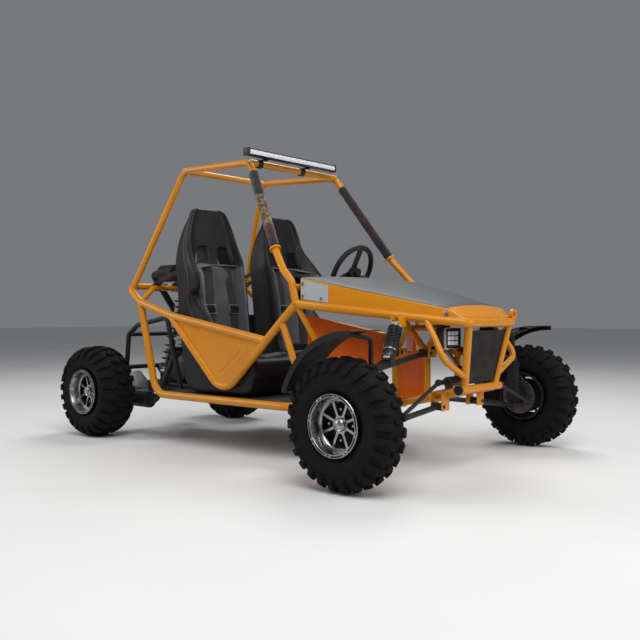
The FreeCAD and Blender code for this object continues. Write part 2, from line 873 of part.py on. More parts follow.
def shock_ends():
    """Top and foot points of all four shock absorbers."""
    pairs = []
    for side in (RIGHT, LEFT):
        pairs.append((shock_top(side), shock_foot(side)))
        rear_top_z = shoulder_z - cross_tube_radius - shock_eye_radius
        rear_top = V(shoulder_x, side * swing_arm_y, rear_top_z)
        rear_foot = V(rear_shock_foot_x, side * swing_arm_y, shock_pedestal_z() + shock_eye_radius)
        pairs.append((rear_top, rear_foot))
    return pairs


def shock_pedestal_z():
    """Top of the pedestals that carry the rear shock absorbers on the swing arm."""
    pivot = V(swing_pivot_x, swing_arm_y, swing_pivot_z)
    axle = V(rear_axle_x, swing_arm_y, rear_axle_z)
    return at_x(pivot, axle, rear_shock_foot_x).z + pedestal_height


def shocks():
    """Damper bodies and rods with their eyes and spring perches."""
    dampers = []
    for top, foot in shock_ends():
        middle = between(top, foot, 1 / 2)
        eyes = []
        for place in (top, foot):
            eye_start = place - X_AXIS * (shock_eye_length / 2)
            eyes.append(Part.makeCylinder(shock_eye_radius, shock_eye_length, eye_start, X_AXIS))
        run = (foot - top).normalize()
        upper_perch = rod(top + run * (spring_end_gap - perch_thickness), top + run * spring_end_gap, spring_radius)
        lower_perch = rod(foot - run * spring_end_gap, foot - run * (spring_end_gap - perch_thickness), spring_radius)
        body_start = top + run * (spring_end_gap - perch_thickness)
        tubes = [rod(top, middle, shock_neck_radius), rod(body_start, middle, shock_body_radius)]
        tubes.append(rod(middle, foot, shock_rod_radius))
        dampers.append(joined(tubes + [upper_perch, lower_perch] + eyes))
    return Part.makeCompound(dampers)


def springs():
    """Coil springs around the dampers."""
    coils = []
    for top, foot in shock_ends():
        run = (foot - top).normalize()
        start = top + run * spring_end_gap
        end = foot - run * spring_end_gap
        length = (end - start).Length
        outer = Part.makeCylinder(spring_radius, length, start, run)
        inner = Part.makeCylinder(spring_radius - 2 * spring_wire_radius, length, start, run)
        coils.append(outer.cut(inner))
    return Part.makeCompound(coils)


def rack_housing():
    """Tube that the steering rack slides in."""
    start = V(rack_x, -rack_housing_half, rack_z)
    shapes = [Part.makeCylinder(rack_housing_radius, 2 * rack_housing_half, start, Y_AXIS)]
    bore = Part.makeCylinder(rack_bar_radius + running_clearance, 2 * rack_housing_half, start, Y_AXIS)
    rail = at_x(V(rail_start_x, rail_start_y, sill_z), nose_foot, rack_x)
    saddle_height = rack_z - rail.z
    for side in (RIGHT, LEFT):
        saddle_centre = V(rack_x, side * rail.y, rail.z + saddle_height / 2)
        shapes.append(block(saddle_centre, rack_saddle_width, rack_saddle_width, saddle_height))
    foot, direction = pinion_line()
    shapes.append(Part.makeCylinder(pinion_boss_radius, pinion_boss_length, foot, direction))
    pinion_bore = Part.makeCylinder(
        column_shaft_radius + running_clearance, pinion_boss_length, foot + direction * pinion_floor, direction
    )
    return joined(shapes).cut([bore, pinion_bore])


def pinion_line():
    """Foot of the lower steering shaft behind the rack, and its direction up to the column."""
    foot = V(rack_x, pinion_y, rack_z)
    centre, forward = column_frame()
    head = centre + forward * (column_shaft_length + joint_gap)
    return foot, (head - foot).normalize()


def lower_shaft():
    """Shaft from the foot of the steering column down to the rack's pinion."""
    foot, direction = pinion_line()
    centre, forward = column_frame()
    head = centre + forward * (column_shaft_length + joint_gap)
    return rod(foot + direction * pinion_floor, head, column_shaft_radius)


def rack_and_rods():
    """Steering rack with both tie rods."""
    bar = rod(V(rack_x, -rack_bar_half, rack_z), V(rack_x, rack_bar_half, rack_z), rack_bar_radius)
    shapes = [bar]
    eye_top_z = front_axle_z - steer_arm_thickness / 2 - tie_rod_drop
    eye_z = eye_top_z - tie_rod_eye_height / 2
    for side in (RIGHT, LEFT):
        inner = V(rack_x, side * rack_bar_half, rack_z)
        outer = V(front_axle_x + steer_arm_length, side * kingpin_y, eye_z)
        shapes.append(rod(inner, outer, tie_rod_radius))
        shapes.append(Part.makeSphere(rack_ball_radius, inner))
        eye_start = outer - Z_AXIS * (tie_rod_eye_height / 2)
        shapes.append(Part.makeCylinder(tie_rod_eye_radius, tie_rod_eye_height, eye_start, Z_AXIS))
    return joined(shapes)


def column_frame():
    """Centre of the steering wheel and the direction of its column towards the nose."""
    tilt = math.radians(column_tilt)
    centre = V(column_wheel_x, column_centre_y, column_wheel_z)
    return centre, V(math.cos(tilt), 0, -math.sin(tilt))


def steering_column():
    """Fixed tube around the steering shaft."""
    centre, forward = column_frame()
    start = centre + forward * column_tube_start
    tube = Part.makeCylinder(column_tube_radius, column_tube_length, start, forward)
    bore = Part.makeCylinder(column_shaft_radius + running_clearance, column_tube_length, start, forward)
    bar = at_z(pillar_joint, V(pillar_foot_x, joint_y, pillar_foot_z), dash_bar_z)
    low = at_x(centre, centre + forward, bar.x)
    bracket_centre = V(bar.x, column_centre_y, (low.z + bar.z) / 2)
    bracket = block(bracket_centre, 2 * cross_tube_radius, 2 * cross_tube_radius, bar.z - low.z)
    return joined([tube, bracket]).cut(bore)


def steering_wheel():
    """Three-spoke wheel on its shaft."""
    centre, forward = column_frame()
    rim_ring = Part.makeTorus(steering_wheel_radius - steering_rim_radius, steering_rim_radius, centre, forward)
    hub = Part.makeCylinder(steering_hub_radius, steering_hub_height, centre, forward)
    shaft = Part.makeCylinder(column_shaft_radius, column_shaft_length, centre, forward)
    upward = Y_AXIS.cross(forward) * -1
    reach = steering_wheel_radius - steering_rim_radius
    spokes = []
    for angle in (90, 210, 330):
        spoke = Part.makeBox(
            reach,
            steering_spoke_width,
            steering_spoke_thickness,
            V(0, -steering_spoke_width / 2, -steering_spoke_thickness / 2),
        )
        spoke.rotate(V(), Z_AXIS, angle)
        spokes.append(spoke)
    turn = FreeCAD.Rotation(Y_AXIS, upward, forward, "ZXY")
    placed = []
    for spoke in spokes:
        spoke.Placement = FreeCAD.Placement(centre, turn).multiply(spoke.Placement)
        placed.append(spoke)
    return joined([rim_ring, hub, shaft] + placed)


def mudguard(side):
    """Arched mudguard with side lips, on a bracket from its knuckle."""
    centre = V(front_axle_x + mudguard_centre_dx, 0, mudguard_centre_z)
    start_angle = math.radians(mudguard_start_angle)
    end_angle = math.radians(mudguard_end_angle)

    def arc_plate(radius_out, radius_in, y_low, y_high):
        def rim_point(radius, angle):
            return centre + V(radius * math.cos(angle), y_low, radius * math.sin(angle))

        middle = (start_angle + end_angle) / 2
        outer = Part.Arc(
            rim_point(radius_out, start_angle), rim_point(radius_out, middle), rim_point(radius_out, end_angle)
        ).toShape()
        inner = Part.Arc(
            rim_point(radius_in, end_angle), rim_point(radius_in, middle), rim_point(radius_in, start_angle)
        ).toShape()
        end_line = Part.LineSegment(rim_point(radius_out, end_angle), rim_point(radius_in, end_angle)).toShape()
        start_line = Part.LineSegment(rim_point(radius_in, start_angle), rim_point(radius_out, start_angle)).toShape()
        face = Part.Face(Part.Wire([outer, end_line, inner, start_line]))
        return face.extrude(V(0, y_high - y_low, 0))

    y_in = mudguard_inner_y
    y_out = mudguard_inner_y + mudguard_width
    top = arc_plate(mudguard_radius, mudguard_radius - mudguard_thickness, y_in, y_out)
    outer_lip = arc_plate(mudguard_radius, mudguard_radius - mudguard_lip, y_out - mudguard_thickness, y_out)
    shield = joined([top, outer_lip])
    if side == RIGHT:
        shield = shield.mirror(V(), Y_AXIS)
    pin_top = V(front_axle_x, side * kingpin_y, upper_ball_z + ball_eye_height)
    stay_angle = math.radians(103)
    under = centre + V(
        (mudguard_radius - mudguard_thickness) * math.cos(stay_angle),
        side * (y_in + mudguard_width / 2),
        (mudguard_radius - mudguard_thickness) * math.sin(stay_angle),
    )
    elbow = V(pin_top.x, pin_top.y, under.z - mudguard_lip)
    stay = bent_tube([pin_top, elbow, under], mudguard_stay_radius, mudguard_lip)
    return joined([shield, stay])


# Body panels and seats

def hood_section(x, half, base_z, top_z, inset):
    """Closed outline of the hood at one X: flat base, upright edges and a crowned top."""
    half = half - inset
    top_z = top_z - inset
    shoulder_z = base_z + (top_z - base_z) * 0.62
    low_left = V(x, half, base_z)
    low_right = V(x, -half, base_z)
    left = V(x, half * 0.97, shoulder_z)
    right = V(x, -half * 0.97, shoulder_z)
    crown = V(x, 0, top_z)
    return Part.Wire([
        Part.LineSegment(low_right, low_left).toShape(),
        Part.LineSegment(low_left, left).toShape(),
        Part.Arc(left, crown, right).toShape(),
        Part.LineSegment(right, low_right).toShape(),
    ])


def hood():
    """Hood shell from the dash to the nose."""
    rear_x = joint_x + cage_tube_radius + seat_gap
    rear_base_z = joint_z + main_tube_radius + seat_gap
    mid_rail = at_x(hood_rail_rear, hood_rail_mid, hood_mid_x)
    mid_base_z = mid_rail.z + main_tube_radius + seat_gap
    front_base_z = nose_top_z + main_tube_radius + seat_gap

    def loft(inset, reach):
        sections = [
            hood_section(rear_x - reach, hood_rear_half, rear_base_z - reach, hood_rear_top_z, inset),
            hood_section(hood_mid_x, mid_rail.y, mid_base_z - reach, hood_mid_top_z, inset),
            hood_section(hood_front_x + reach, hood_front_half, front_base_z - reach, hood_front_top_z, inset),
        ]
        return Part.makeLoft(sections, True, True)

    return loft(0, 0).cut(loft(hood_thickness, overrun))


def dash_panel():
    """Dash across the cage behind the hood."""
    rear_x = pillar_foot_x + cage_tube_radius - dash_depth
    top = Part.makeBox(dash_depth, 2 * dash_half, dash_thickness, V(rear_x, -dash_half, dash_top_z - dash_thickness))
    face_height = dash_top_z - dash_face_low_z
    face = Part.makeBox(dash_thickness, 2 * dash_half, face_height, V(rear_x, -dash_half, dash_face_low_z))
    bar = at_z(pillar_joint, V(pillar_foot_x, joint_y, pillar_foot_z), dash_bar_z)
    shapes = [top, face]
    for side in (RIGHT, 0, LEFT):
        rib_centre = V((rear_x + bar.x) / 2, side * dash_rib_y, (bar.z + dash_top_z) / 2)
        shapes.append(block(rib_centre, bar.x - rear_x, dash_thickness, dash_top_z - bar.z))
    centre, forward = column_frame()
    hole = Part.makeCylinder(column_tube_radius + running_clearance, column_shaft_length, centre, forward)
    return joined(shapes).cut(hole)


def nose_plate():
    """Flat plate between the nose uprights."""
    low = at_z(nose_foot, upright_top, nose_plate_low_z)
    high = at_z(nose_foot, upright_top, nose_plate_high_z)
    corners = [mirrored(low, RIGHT), mirrored(low, LEFT), mirrored(high, LEFT), mirrored(high, RIGHT)]
    return plate_from(corners, panel_thickness, X_AXIS)


def headlamps():
    """Square lamps on both sides of the nose."""
    lamps = []
    for side in (RIGHT, LEFT):
        middle_x = headlamp_x - headlamp_depth / 2
        lamp = block(V(middle_x, side * headlamp_y, headlamp_z), headlamp_depth, headlamp_size, headlamp_size)
        rail = at_x(hood_rail_mid, nose_top, middle_x)
        lamp_top = headlamp_z + headlamp_size / 2
        bracket_centre = V(middle_x, side * (headlamp_y + rail.y) / 2, (lamp_top + rail.z) / 2)
        bracket = block(bracket_centre, headlamp_depth / 2, rail.y - headlamp_y, rail.z - lamp_top + 2 * overrun)
        lamps.append(joined([lamp, bracket]))
    return Part.makeCompound(lamps)


def floor_pan():
    """Floor plate between the sills."""
    z = sill_z + cross_tube_radius
    inner_y = sill_y - main_tube_radius - seat_gap
    corners = [
        V(rear_cross_x, -inner_y, z),
        V(rear_cross_x, inner_y, z),
        V(sill_front_x, inner_y, z),
        V(rail_start_x, rail_start_y, z),
        V(rail_start_x, -rail_start_y, z),
        V(sill_front_x, -inner_y, z),
    ]
    return plate_from(corners, floor_thickness, Z_AXIS)


def footwell_panels():
    """Upright plates that close the footwell to the nose."""
    low_z = sill_z + cross_tube_radius
    bulkhead = [
        V(tower_rear_x, tower_y, low_z),
        V(tower_rear_x, -tower_y, low_z),
        V(tower_rear_x, -tower_y, upper_pivot_z),
        V(tower_rear_x, tower_y, upper_pivot_z),
    ]
    panels = [plate_from(bulkhead, panel_thickness, X_AXIS)]
    for side in (RIGHT, LEFT):
        rear = mirrored(sill_point(strut_foot_x), side)
        front = mirrored(sill_point(rail_start_x), side)
        corners = [rear, front, V(front.x, front.y, footwell_front_z), V(rear.x, rear.y, footwell_rear_z)]
        panels.append(plate_from(corners, panel_thickness, Y_AXIS * -side))
    return panels


def door_panels():
    """Pressed panels that fill the door triangles."""
    panels = []
    for side in (RIGHT, LEFT):
        corners = [
            V(door_rail_mid_x, door_rail_mid_y, door_rail_mid_z),
            V(vee_bottom_x, sill_y, vee_bottom_z),
            V(door_rail_end_x, door_rail_end_y, door_rail_end_z),
        ]
        panels.append(plate_from([mirrored(p, side) for p in corners], panel_thickness, Y_AXIS * side))
    return panels


def seat(side):
    """Bucket seat as a plain closed cushion, with two harness holes."""
    lip = V(seat_lip_x, 0, seat_lip_z)
    seat_base_z = sill_z + cross_tube_radius + floor_thickness
    outline = [
        lip,
        V(seat_hip_x, 0, seat_hip_z),
        V(seat_top_x, 0, seat_top_z),
        V(seat_top_x - seat_back_thickness, 0, seat_top_z),
        V(seat_hip_x - seat_back_thickness * 1.6, 0, seat_base_z),
        V(seat_lip_x, 0, seat_base_z),
    ]
    low_y = side * seat_y - seat_cushion_width / 2
    body = plate_from([p + Y_AXIS * low_y for p in outline], seat_cushion_width, Y_AXIS)
    holes = []
    for offset in (-seat_hole_spacing / 2, seat_hole_spacing / 2):
        holes.append(block(
            V(seat_top_x, side * seat_y + offset, seat_hole_z),
            4 * seat_back_thickness,
            seat_hole_width,
            seat_hole_height,
        ))
    return body.cut(holes)


def harnesses():
    """Shoulder straps down the front of both seats."""
    straps = []
    hip = V(seat_hip_x, 0, seat_hip_z)
    top = V(seat_top_x, 0, seat_top_z)
    run = (top - hip).normalize()
    normal = V(run.z, 0, -run.x)
    for side in (RIGHT, LEFT):
        for offset in (-seat_hole_spacing / 2, seat_hole_spacing / 2):
            low = between(hip, top, 0.12) + normal * seat_gap + Y_AXIS * (side * seat_y + offset - strap_width / 2)
            high = at_z(hip, top, seat_hole_z) + normal * seat_gap
            high = high + Y_AXIS * (side * seat_y + offset - strap_width / 2)
            corners = [low, high, high + Y_AXIS * strap_width, low + Y_AXIS * strap_width]
            straps.append(plate_from(corners, strap_thickness, normal))
    return Part.makeCompound(straps)


def light_bar():
    """Lamp bar on two brackets over the windscreen tube."""
    centre = V(light_bar_x, 0, light_bar_z)
    body = block(centre, light_bar_depth, light_bar_length, light_bar_height)
    shapes = [body]
    for side in (RIGHT, LEFT):
        low = V(roof_front_x, side * bar_bracket_y, roof_front_z)
        collar_start = low - Y_AXIS * (bar_bracket_width / 2)
        collar = Part.makeCylinder(cage_tube_radius + 4, bar_bracket_width, collar_start, Y_AXIS)
        collar = collar.cut(Part.makeCylinder(cage_tube_radius, bar_bracket_width, collar_start, Y_AXIS))
        foot = block(V(roof_front_x + 18, side * bar_bracket_y, roof_front_z + 22), 20, bar_bracket_width, 14)
        foot = foot.cut(Part.makeCylinder(cage_tube_radius, bar_bracket_width, collar_start, Y_AXIS))
        shapes.append(collar)
        shapes.append(foot)
    return joined(shapes)


def pillar_pads():
    """Padded sleeves around both windscreen pillars."""
    pads = []
    roof_front = V(roof_front_x, roof_front_y, roof_front_z)
    for side in (RIGHT, LEFT):
        top = at_x(roof_front, pillar_flange, pad_start_x)
        run = (pillar_flange - roof_front).normalize()
        start = mirrored(top, side)
        end = mirrored(top + run * pad_length, side)
        outer = rod(start, end, pad_radius)
        inner = rod(start, end, cage_tube_radius)
        pads.append(outer.cut(inner))
    return Part.makeCompound(pads)


# Engine, exhaust and rear suspension

def swing_arm():
    """Rear arm with the axle carrier and its pivot tube."""
    shapes = []
    pivot_start = V(swing_pivot_x, -swing_pivot_half, swing_pivot_z)
    shapes.append(Part.makeCylinder(swing_tube_radius, 2 * swing_pivot_half, pivot_start, Y_AXIS))
    carrier_start = V(rear_axle_x, -carrier_half, rear_axle_z)
    shapes.append(Part.makeCylinder(carrier_radius, 2 * carrier_half, carrier_start, Y_AXIS))
    for side in (RIGHT, LEFT):
        pivot = V(swing_pivot_x, side * swing_arm_y, swing_pivot_z)
        axle = V(rear_axle_x, side * swing_arm_y, rear_axle_z)
        shapes.append(rod(pivot, axle, swing_tube_radius))
        pedestal_top = shock_pedestal_z()
        pedestal_centre = V(rear_shock_foot_x, side * swing_arm_y, pedestal_top - pedestal_height / 2)
        shapes.append(block(pedestal_centre, pedestal_size, pedestal_size, pedestal_height))
    bore = Part.makeCylinder(
        axle_radius + running_clearance, 2 * carrier_half + 2 * overrun, carrier_start - Y_AXIS * overrun, Y_AXIS
    )
    return joined(shapes).cut(bore)


def crankcase_z():
    """Height of the middle of the crankcase, which stands on the cradle rails."""
    return cradle_z + brace_tube_radius + crankcase_height / 2


def engine_block():
    """Crankcase."""
    return block(V(crankcase_x, 0, crankcase_z()), crankcase_length, crankcase_width, crankcase_height)


def engine_cylinder():
    """Finned cylinder and head on top of the crankcase."""
    base_z = crankcase_z() + crankcase_height / 2
    core = cylinder_size - 2 * fin_reach
    shapes = [block(V(crankcase_x, 0, base_z + cylinder_height / 2), core, core, cylinder_height)]
    pitch = cylinder_height / (fin_count + 1)
    for index in range(fin_count):
        z = base_z + pitch * (index + 1)
        shapes.append(block(V(crankcase_x, 0, z), cylinder_size, cylinder_size, fin_thickness))
    return joined(shapes)


def air_filter():
    """Pod filter on its intake pipe."""
    centre = V(pod_x, pod_y, pod_z)
    pod = Part.makeCylinder(pod_radius, pod_length, centre - X_AXIS * (pod_length / 2), X_AXIS)
    inlet_z = crankcase_z() + crankcase_height / 2 + cylinder_height - cylinder_size / 4
    route = [
        V(crankcase_x - cylinder_size / 2, 0, inlet_z),
        V(intake_bend_x, 0, inlet_z),
        V(intake_bend_x, pod_y, pod_z),
        centre,
    ]
    pipe = bent_tube(route, intake_radius, intake_bend_radius)
    return joined([pod, pipe])


def muffler():
    """Silencer behind the engine."""
    front = V(muffler_front_x, muffler_y, muffler_z)
    can = Part.makeCylinder(muffler_radius, muffler_length, front - X_AXIS * muffler_length, X_AXIS)
    port_z = crankcase_z() + crankcase_height / 2 + cylinder_height - cylinder_size / 4
    port = V(crankcase_x + cylinder_size / 2, 0, port_z)
    knee = V(exhaust_knee_x, 0, port_z)
    side_knee = V(exhaust_knee_x, exhaust_knee_y, exhaust_knee_z)
    low = front + X_AXIS * (3 * exhaust_radius)
    pipe = bent_tube([port, knee, side_knee, low, front], exhaust_radius, exhaust_radius * 1.5)
    return joined([can, pipe])


def fuel_tank():
    """Tank behind the left seat."""
    return block(V(tank_x, tank_y, tank_base_z + tank_height / 2), tank_length, tank_width, tank_height)


def engine_guard():
    """Black tube hoops around the engine, with its cradle rails and the bar under the tank."""
    guard_foot = V(rear_cross_x, guard_y, sill_z)
    guard_front = V(guard_front_x, guard_y, guard_front_z)
    tubes = []
    for side in (RIGHT, LEFT):
        route = [
            guard_foot,
            guard_front,
            V(guard_crest_x, guard_y, guard_crest_z),
            V(guard_tail_x, guard_y, guard_tail_z),
            V(guard_low_x, guard_y, guard_low_z),
        ]
        tubes.append(bent_tube([mirrored(p, side) for p in route], guard_tube_radius, guard_bend_radius))
        cradle = [
            V(rear_cross_x, cradle_y, cradle_z),
            V(cradle_rear_x, cradle_y, cradle_z),
            V(guard_low_x, cradle_y, guard_low_z),
        ]
        tubes.append(bent_tube([mirrored(p, side) for p in cradle], brace_tube_radius, guard_bend_radius))
    tank_bar = at_z(guard_foot, guard_front, tank_base_z - brace_tube_radius)
    for end in (V(guard_tail_x, guard_y, guard_tail_z), V(guard_low_x, guard_y, guard_low_z), tank_bar):
        tubes.append(rod(mirrored(end, RIGHT), mirrored(end, LEFT), brace_tube_radius))
    return joined(tubes)


def exported(name, shape):
    """Write one piece to its own file."""
    shape.exportStep("parts/" + name + ".step")


def main():
    os.makedirs("parts", exist_ok=True)
    base = base_frame()
    sides = {side: fitted(side_frame(side), [base]) for side in (RIGHT, LEFT)}
    hoop = fitted(rear_hoop(), [base, sides[RIGHT], sides[LEFT]])
    nose = Part.makeCompound([
        fitted(nose_frame(), [base, sides[RIGHT], sides[LEFT]]),
        fitted(dash_bar(), [sides[RIGHT], sides[LEFT]]),
    ])
    roof = fitted(roof_cage(), [hoop, sides[RIGHT], sides[LEFT]])
    guard = fitted(engine_guard(), [base])
    frame = [base, sides[RIGHT], sides[LEFT], nose]
    lamps = [fitted(lamp, [nose]) for lamp in headlamps().Solids]
    floor = fitted(floor_pan(), [base, guard, sides[RIGHT], sides[LEFT]])
    footwell = [fitted(panel, frame + [floor]) for panel in footwell_panels()]
    doors = [fitted(panel, frame) for panel in door_panels()]
    pieces = {
        "base_frame": base,
        "side_frame_right": sides[RIGHT],
        "side_frame_left": sides[LEFT],
        "rear_hoop": hoop,
        "nose_frame": nose,
        "roof_cage": roof,
        "front_wheel_right": front_wheel(RIGHT),
        "front_wheel_left": front_wheel(LEFT),
        "front_tyre_right": front_tyre(RIGHT),
        "front_tyre_left": front_tyre(LEFT),
        "rear_wheels": rear_wheels(),
        "rear_tyres": rear_tyres(),
        "rear_axle": rear_axle(),
        "knuckle_right": knuckle(RIGHT),
        "knuckle_left": knuckle(LEFT),
        "mudguard_right": mudguard(RIGHT),
        "mudguard_left": mudguard(LEFT),
        "front_arms": front_arms(),
        "shocks": shocks(),
        "springs": springs(),
        "rack_housing": fitted(rack_housing(), [base]),
        "rack_and_rods": rack_and_rods(),
        "steering_column": fitted(steering_column(), [nose]),
        "lower_shaft": lower_shaft(),
        "steering_wheel": steering_wheel(),
        "hood": hood(),
        "dash_panel": fitted(dash_panel(), [nose]),
        "nose_plate": fitted(nose_plate(), [nose]),
        "headlamps": Part.makeCompound(lamps),
        "floor_pan": floor,
        "footwell_panels": Part.makeCompound(footwell),
        "door_panels": Part.makeCompound(doors),
        "seat_right": seat(RIGHT),
        "seat_left": seat(LEFT),
        "harnesses": harnesses(),
        "light_bar": light_bar(),
        "pillar_pads": pillar_pads(),
        "swing_arm": swing_arm(),
        "engine_block": engine_block(),
        "engine_cylinder": engine_cylinder(),
        "air_filter": air_filter(),
        "muffler": muffler(),
        "fuel_tank": fuel_tank(),
        "engine_guard": guard,
    }
    for name, shape in pieces.items():
        exported(name, shape)


main()
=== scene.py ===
"""Two-seat dune buggy with a yellow tube cage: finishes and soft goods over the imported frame.

Run as a script, the file registers its panel and operators and then calls them in order, one for each
group of pieces. Lengths are in metres: +X is forward, +Y is the buggy's left and +Z is up.
"""

import math

import bmesh
import bpy
from bpy.props import FloatProperty, FloatVectorProperty, IntProperty, PointerProperty
from mathutils import Matrix, Vector


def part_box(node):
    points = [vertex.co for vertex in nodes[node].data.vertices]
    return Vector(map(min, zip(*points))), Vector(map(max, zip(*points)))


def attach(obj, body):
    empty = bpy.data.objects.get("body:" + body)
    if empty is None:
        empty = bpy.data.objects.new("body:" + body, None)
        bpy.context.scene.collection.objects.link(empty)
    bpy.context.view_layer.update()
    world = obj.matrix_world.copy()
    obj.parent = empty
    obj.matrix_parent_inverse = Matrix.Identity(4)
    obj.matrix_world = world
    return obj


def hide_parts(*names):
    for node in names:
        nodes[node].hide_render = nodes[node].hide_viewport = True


bl_info = {
    "name": "Dune Buggy Workshop",
    "version": (1, 0, 0),
    "blender": (4, 5, 0),
    "location": "View3D > Sidebar > Buggy",
    "description": "Builds the finishes, tyres, seats and fittings of a two-seat dune buggy",
    "category": "Object",
}

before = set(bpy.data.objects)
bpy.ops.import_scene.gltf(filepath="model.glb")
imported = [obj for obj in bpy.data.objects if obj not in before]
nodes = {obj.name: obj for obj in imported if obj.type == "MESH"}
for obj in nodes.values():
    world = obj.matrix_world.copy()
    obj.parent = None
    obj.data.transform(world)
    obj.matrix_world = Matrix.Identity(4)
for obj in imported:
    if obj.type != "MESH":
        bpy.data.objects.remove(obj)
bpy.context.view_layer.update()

RIGHT = -1
LEFT = 1
SIDE_WORDS = ((RIGHT, "right"), (LEFT, "left"))
AXLE = (0, 1, 0)
MM = 0.001
weld_distance = 0.01 * MM


def node_centre(node):
    """Middle of a CAD node's box."""
    low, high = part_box(node)
    return (low + high) / 2


# Places that the frame gives

front_hub = {RIGHT: node_centre("front_tyre_right"), LEFT: node_centre("front_tyre_left")}
rear_low, rear_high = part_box("rear_tyres")
front_low, front_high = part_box("front_tyre_right")
front_tyre_width = front_high.y - front_low.y
front_tyre_radius = (front_high.z - front_low.z) / 2
rear_tyre_radius = (rear_high.z - rear_low.z) / 2
rear_tyre_width = 0.200
rear_axle_x = (rear_low.x + rear_high.x) / 2
rear_hub_y = rear_high.y - rear_tyre_width / 2
rear_hub = {side: Vector((rear_axle_x, side * rear_hub_y, rear_tyre_radius)) for side in (RIGHT, LEFT)}
bead_radius = 0.108


# Modelling by hand: the helpers leave their piece active, most of them in object mode

def alone(piece):
    """Select this piece only."""
    if bpy.context.mode != "OBJECT":
        bpy.ops.object.mode_set(mode="OBJECT")
    bpy.ops.object.select_all(action="DESELECT")
    piece.select_set(True)
    bpy.context.view_layer.objects.active = piece
    return piece


def nothing_selected():
    """Back to object mode with nothing selected."""
    if bpy.context.mode != "OBJECT":
        bpy.ops.object.mode_set(mode="OBJECT")
    bpy.ops.object.select_all(action="DESELECT")


def named(name):
    """Give the active object its name and put its place into its mesh."""
    piece = bpy.context.view_layer.objects.active
    piece.name = name
    piece.data.name = name
    alone(piece)
    bpy.ops.object.transform_apply(location=True, rotation=True, scale=True)
    return piece


def block(name, centre, size):
    """A box primitive with this centre and size."""
    nothing_selected()
    bpy.ops.mesh.primitive_cube_add(size=1, location=centre, scale=size)
    return named(name)


def along(direction):
    """Euler turn that lays +Z along the direction."""
    return Vector(direction).to_track_quat("Z", "Y").to_euler()


def rounded_block(name, centre, size, width, segments=2):
    """A box with rounded edges."""
    return bevelled(block(name, centre, size), width, segments)


def round_bar(name, start, end, radius, sides=24, end_radius=None):
    """A cylinder or cone primitive from start to end."""
    start = Vector(start)
    end = Vector(end)
    nothing_selected()
    bpy.ops.mesh.primitive_cone_add(
        vertices=sides,
        radius1=radius,
        radius2=radius if end_radius is None else end_radius,
        depth=(end - start).length,
        location=(start + end) / 2,
        rotation=along(end - start),
    )
    return named(name)


def pin(name, centre, half_reach, radius, sides=24):
    """A cylinder that reaches as far either way from its centre."""
    return round_bar(name, centre - Vector(half_reach), centre + Vector(half_reach), radius, sides)


def stub(name, start, reach, radius, sides=24):
    """A cylinder that reaches on from its start."""
    return round_bar(name, start, start + Vector(reach), radius, sides)


def picked(piece, test, element="FACE"):
    """Edit the piece with only the faces, edges or points selected that pass the test."""
    alone(piece)
    bpy.ops.object.mode_set(mode="EDIT")
    bpy.ops.mesh.select_mode(type=element)
    bpy.ops.mesh.select_all(action="DESELECT")
    mesh = bmesh.from_edit_mesh(piece.data)
    items = {"FACE": mesh.faces, "EDGE": mesh.edges, "VERT": mesh.verts}[element]
    for item in items:
        item.select_set(bool(test(item)))
    mesh.select_flush_mode()
    bmesh.update_edit_mesh(piece.data)
    return piece


def done():
    """Leave edit mode."""
    bpy.ops.object.mode_set(mode="OBJECT")


def pulled(reach):
    """Extrude what is selected in edit mode."""
    bpy.ops.mesh.extrude_region_move(TRANSFORM_OT_translate={"value": reach})


def drawn(name, points, closed=False):
    """A chain of edges through the points, pulled out of one vertex; a closed chain becomes a face."""
    points = [Vector(point) for point in points]
    nothing_selected()
    bpy.ops.mesh.primitive_plane_add(size=MM, location=points[0])
    piece = named(name)
    bpy.ops.object.mode_set(mode="EDIT")
    bpy.ops.mesh.select_mode(type="VERT")
    bpy.ops.mesh.select_all(action="SELECT")
    bpy.ops.mesh.merge(type="CENTER")
    for before, after in zip(points, points[1:]):
        pulled(after - before)
    if closed:
        bpy.ops.mesh.select_all(action="SELECT")
        bpy.ops.mesh.edge_face_add()
    done()
    return piece


def modified(piece, kind, **settings):
    """Add a modifier to the piece and apply it."""
    alone(piece)
    modifier = piece.modifiers.new(kind.title(), kind)
    for key, value in settings.items():
        setattr(modifier, key, value)
    bpy.ops.object.modifier_apply(modifier=modifier.name)
    return piece


def bevelled(piece, width, segments=2, angle=35.0):
    """Round the piece's sharp edges."""
    return modified(
        piece, "BEVEL", width=width, segments=segments, limit_method="ANGLE", angle_limit=math.radians(angle)
    )


def smooth(piece, angle=35.0):
    """Smooth shading that keeps the sharp edges."""
    alone(piece)
    bpy.ops.object.shade_smooth_by_angle(angle=math.radians(angle))
    return piece


def outward(piece):
    """Merge doubled points and point every face outwards."""
    picked(piece, lambda item: True, "VERT")
    bpy.ops.mesh.remove_doubles(threshold=weld_distance)
    bpy.ops.mesh.normals_make_consistent(inside=False)
    done()
    return piece


def spun(name, profile, centre, axis, steps):
    """Turn a profile of points about the axis through the centre, all the way round."""
    piece = drawn(name, profile)
    picked(piece, lambda item: True, "VERT")
    bpy.ops.mesh.spin(steps=steps, dupli=False, angle=2 * math.pi, center=centre, axis=axis)
    done()
    return outward(piece)


def slab(name, outline, reach):
    """A flat outline pulled out to a solid, left in edit mode."""
    piece = drawn(name, outline, closed=True)
    picked(piece, lambda face: True)
    pulled(reach)
    return piece


def long_edges_rounded(piece, axis, shortest, width):
    """Round the edges of a slab that run along its axis."""
    done()
    outward(piece)
    picked(piece, lambda edge: abs((edge.verts[0].co - edge.verts[1].co)[axis]) > shortest, "EDGE")
    bpy.ops.mesh.bevel(offset=width, segments=4)
    done()
    return piece


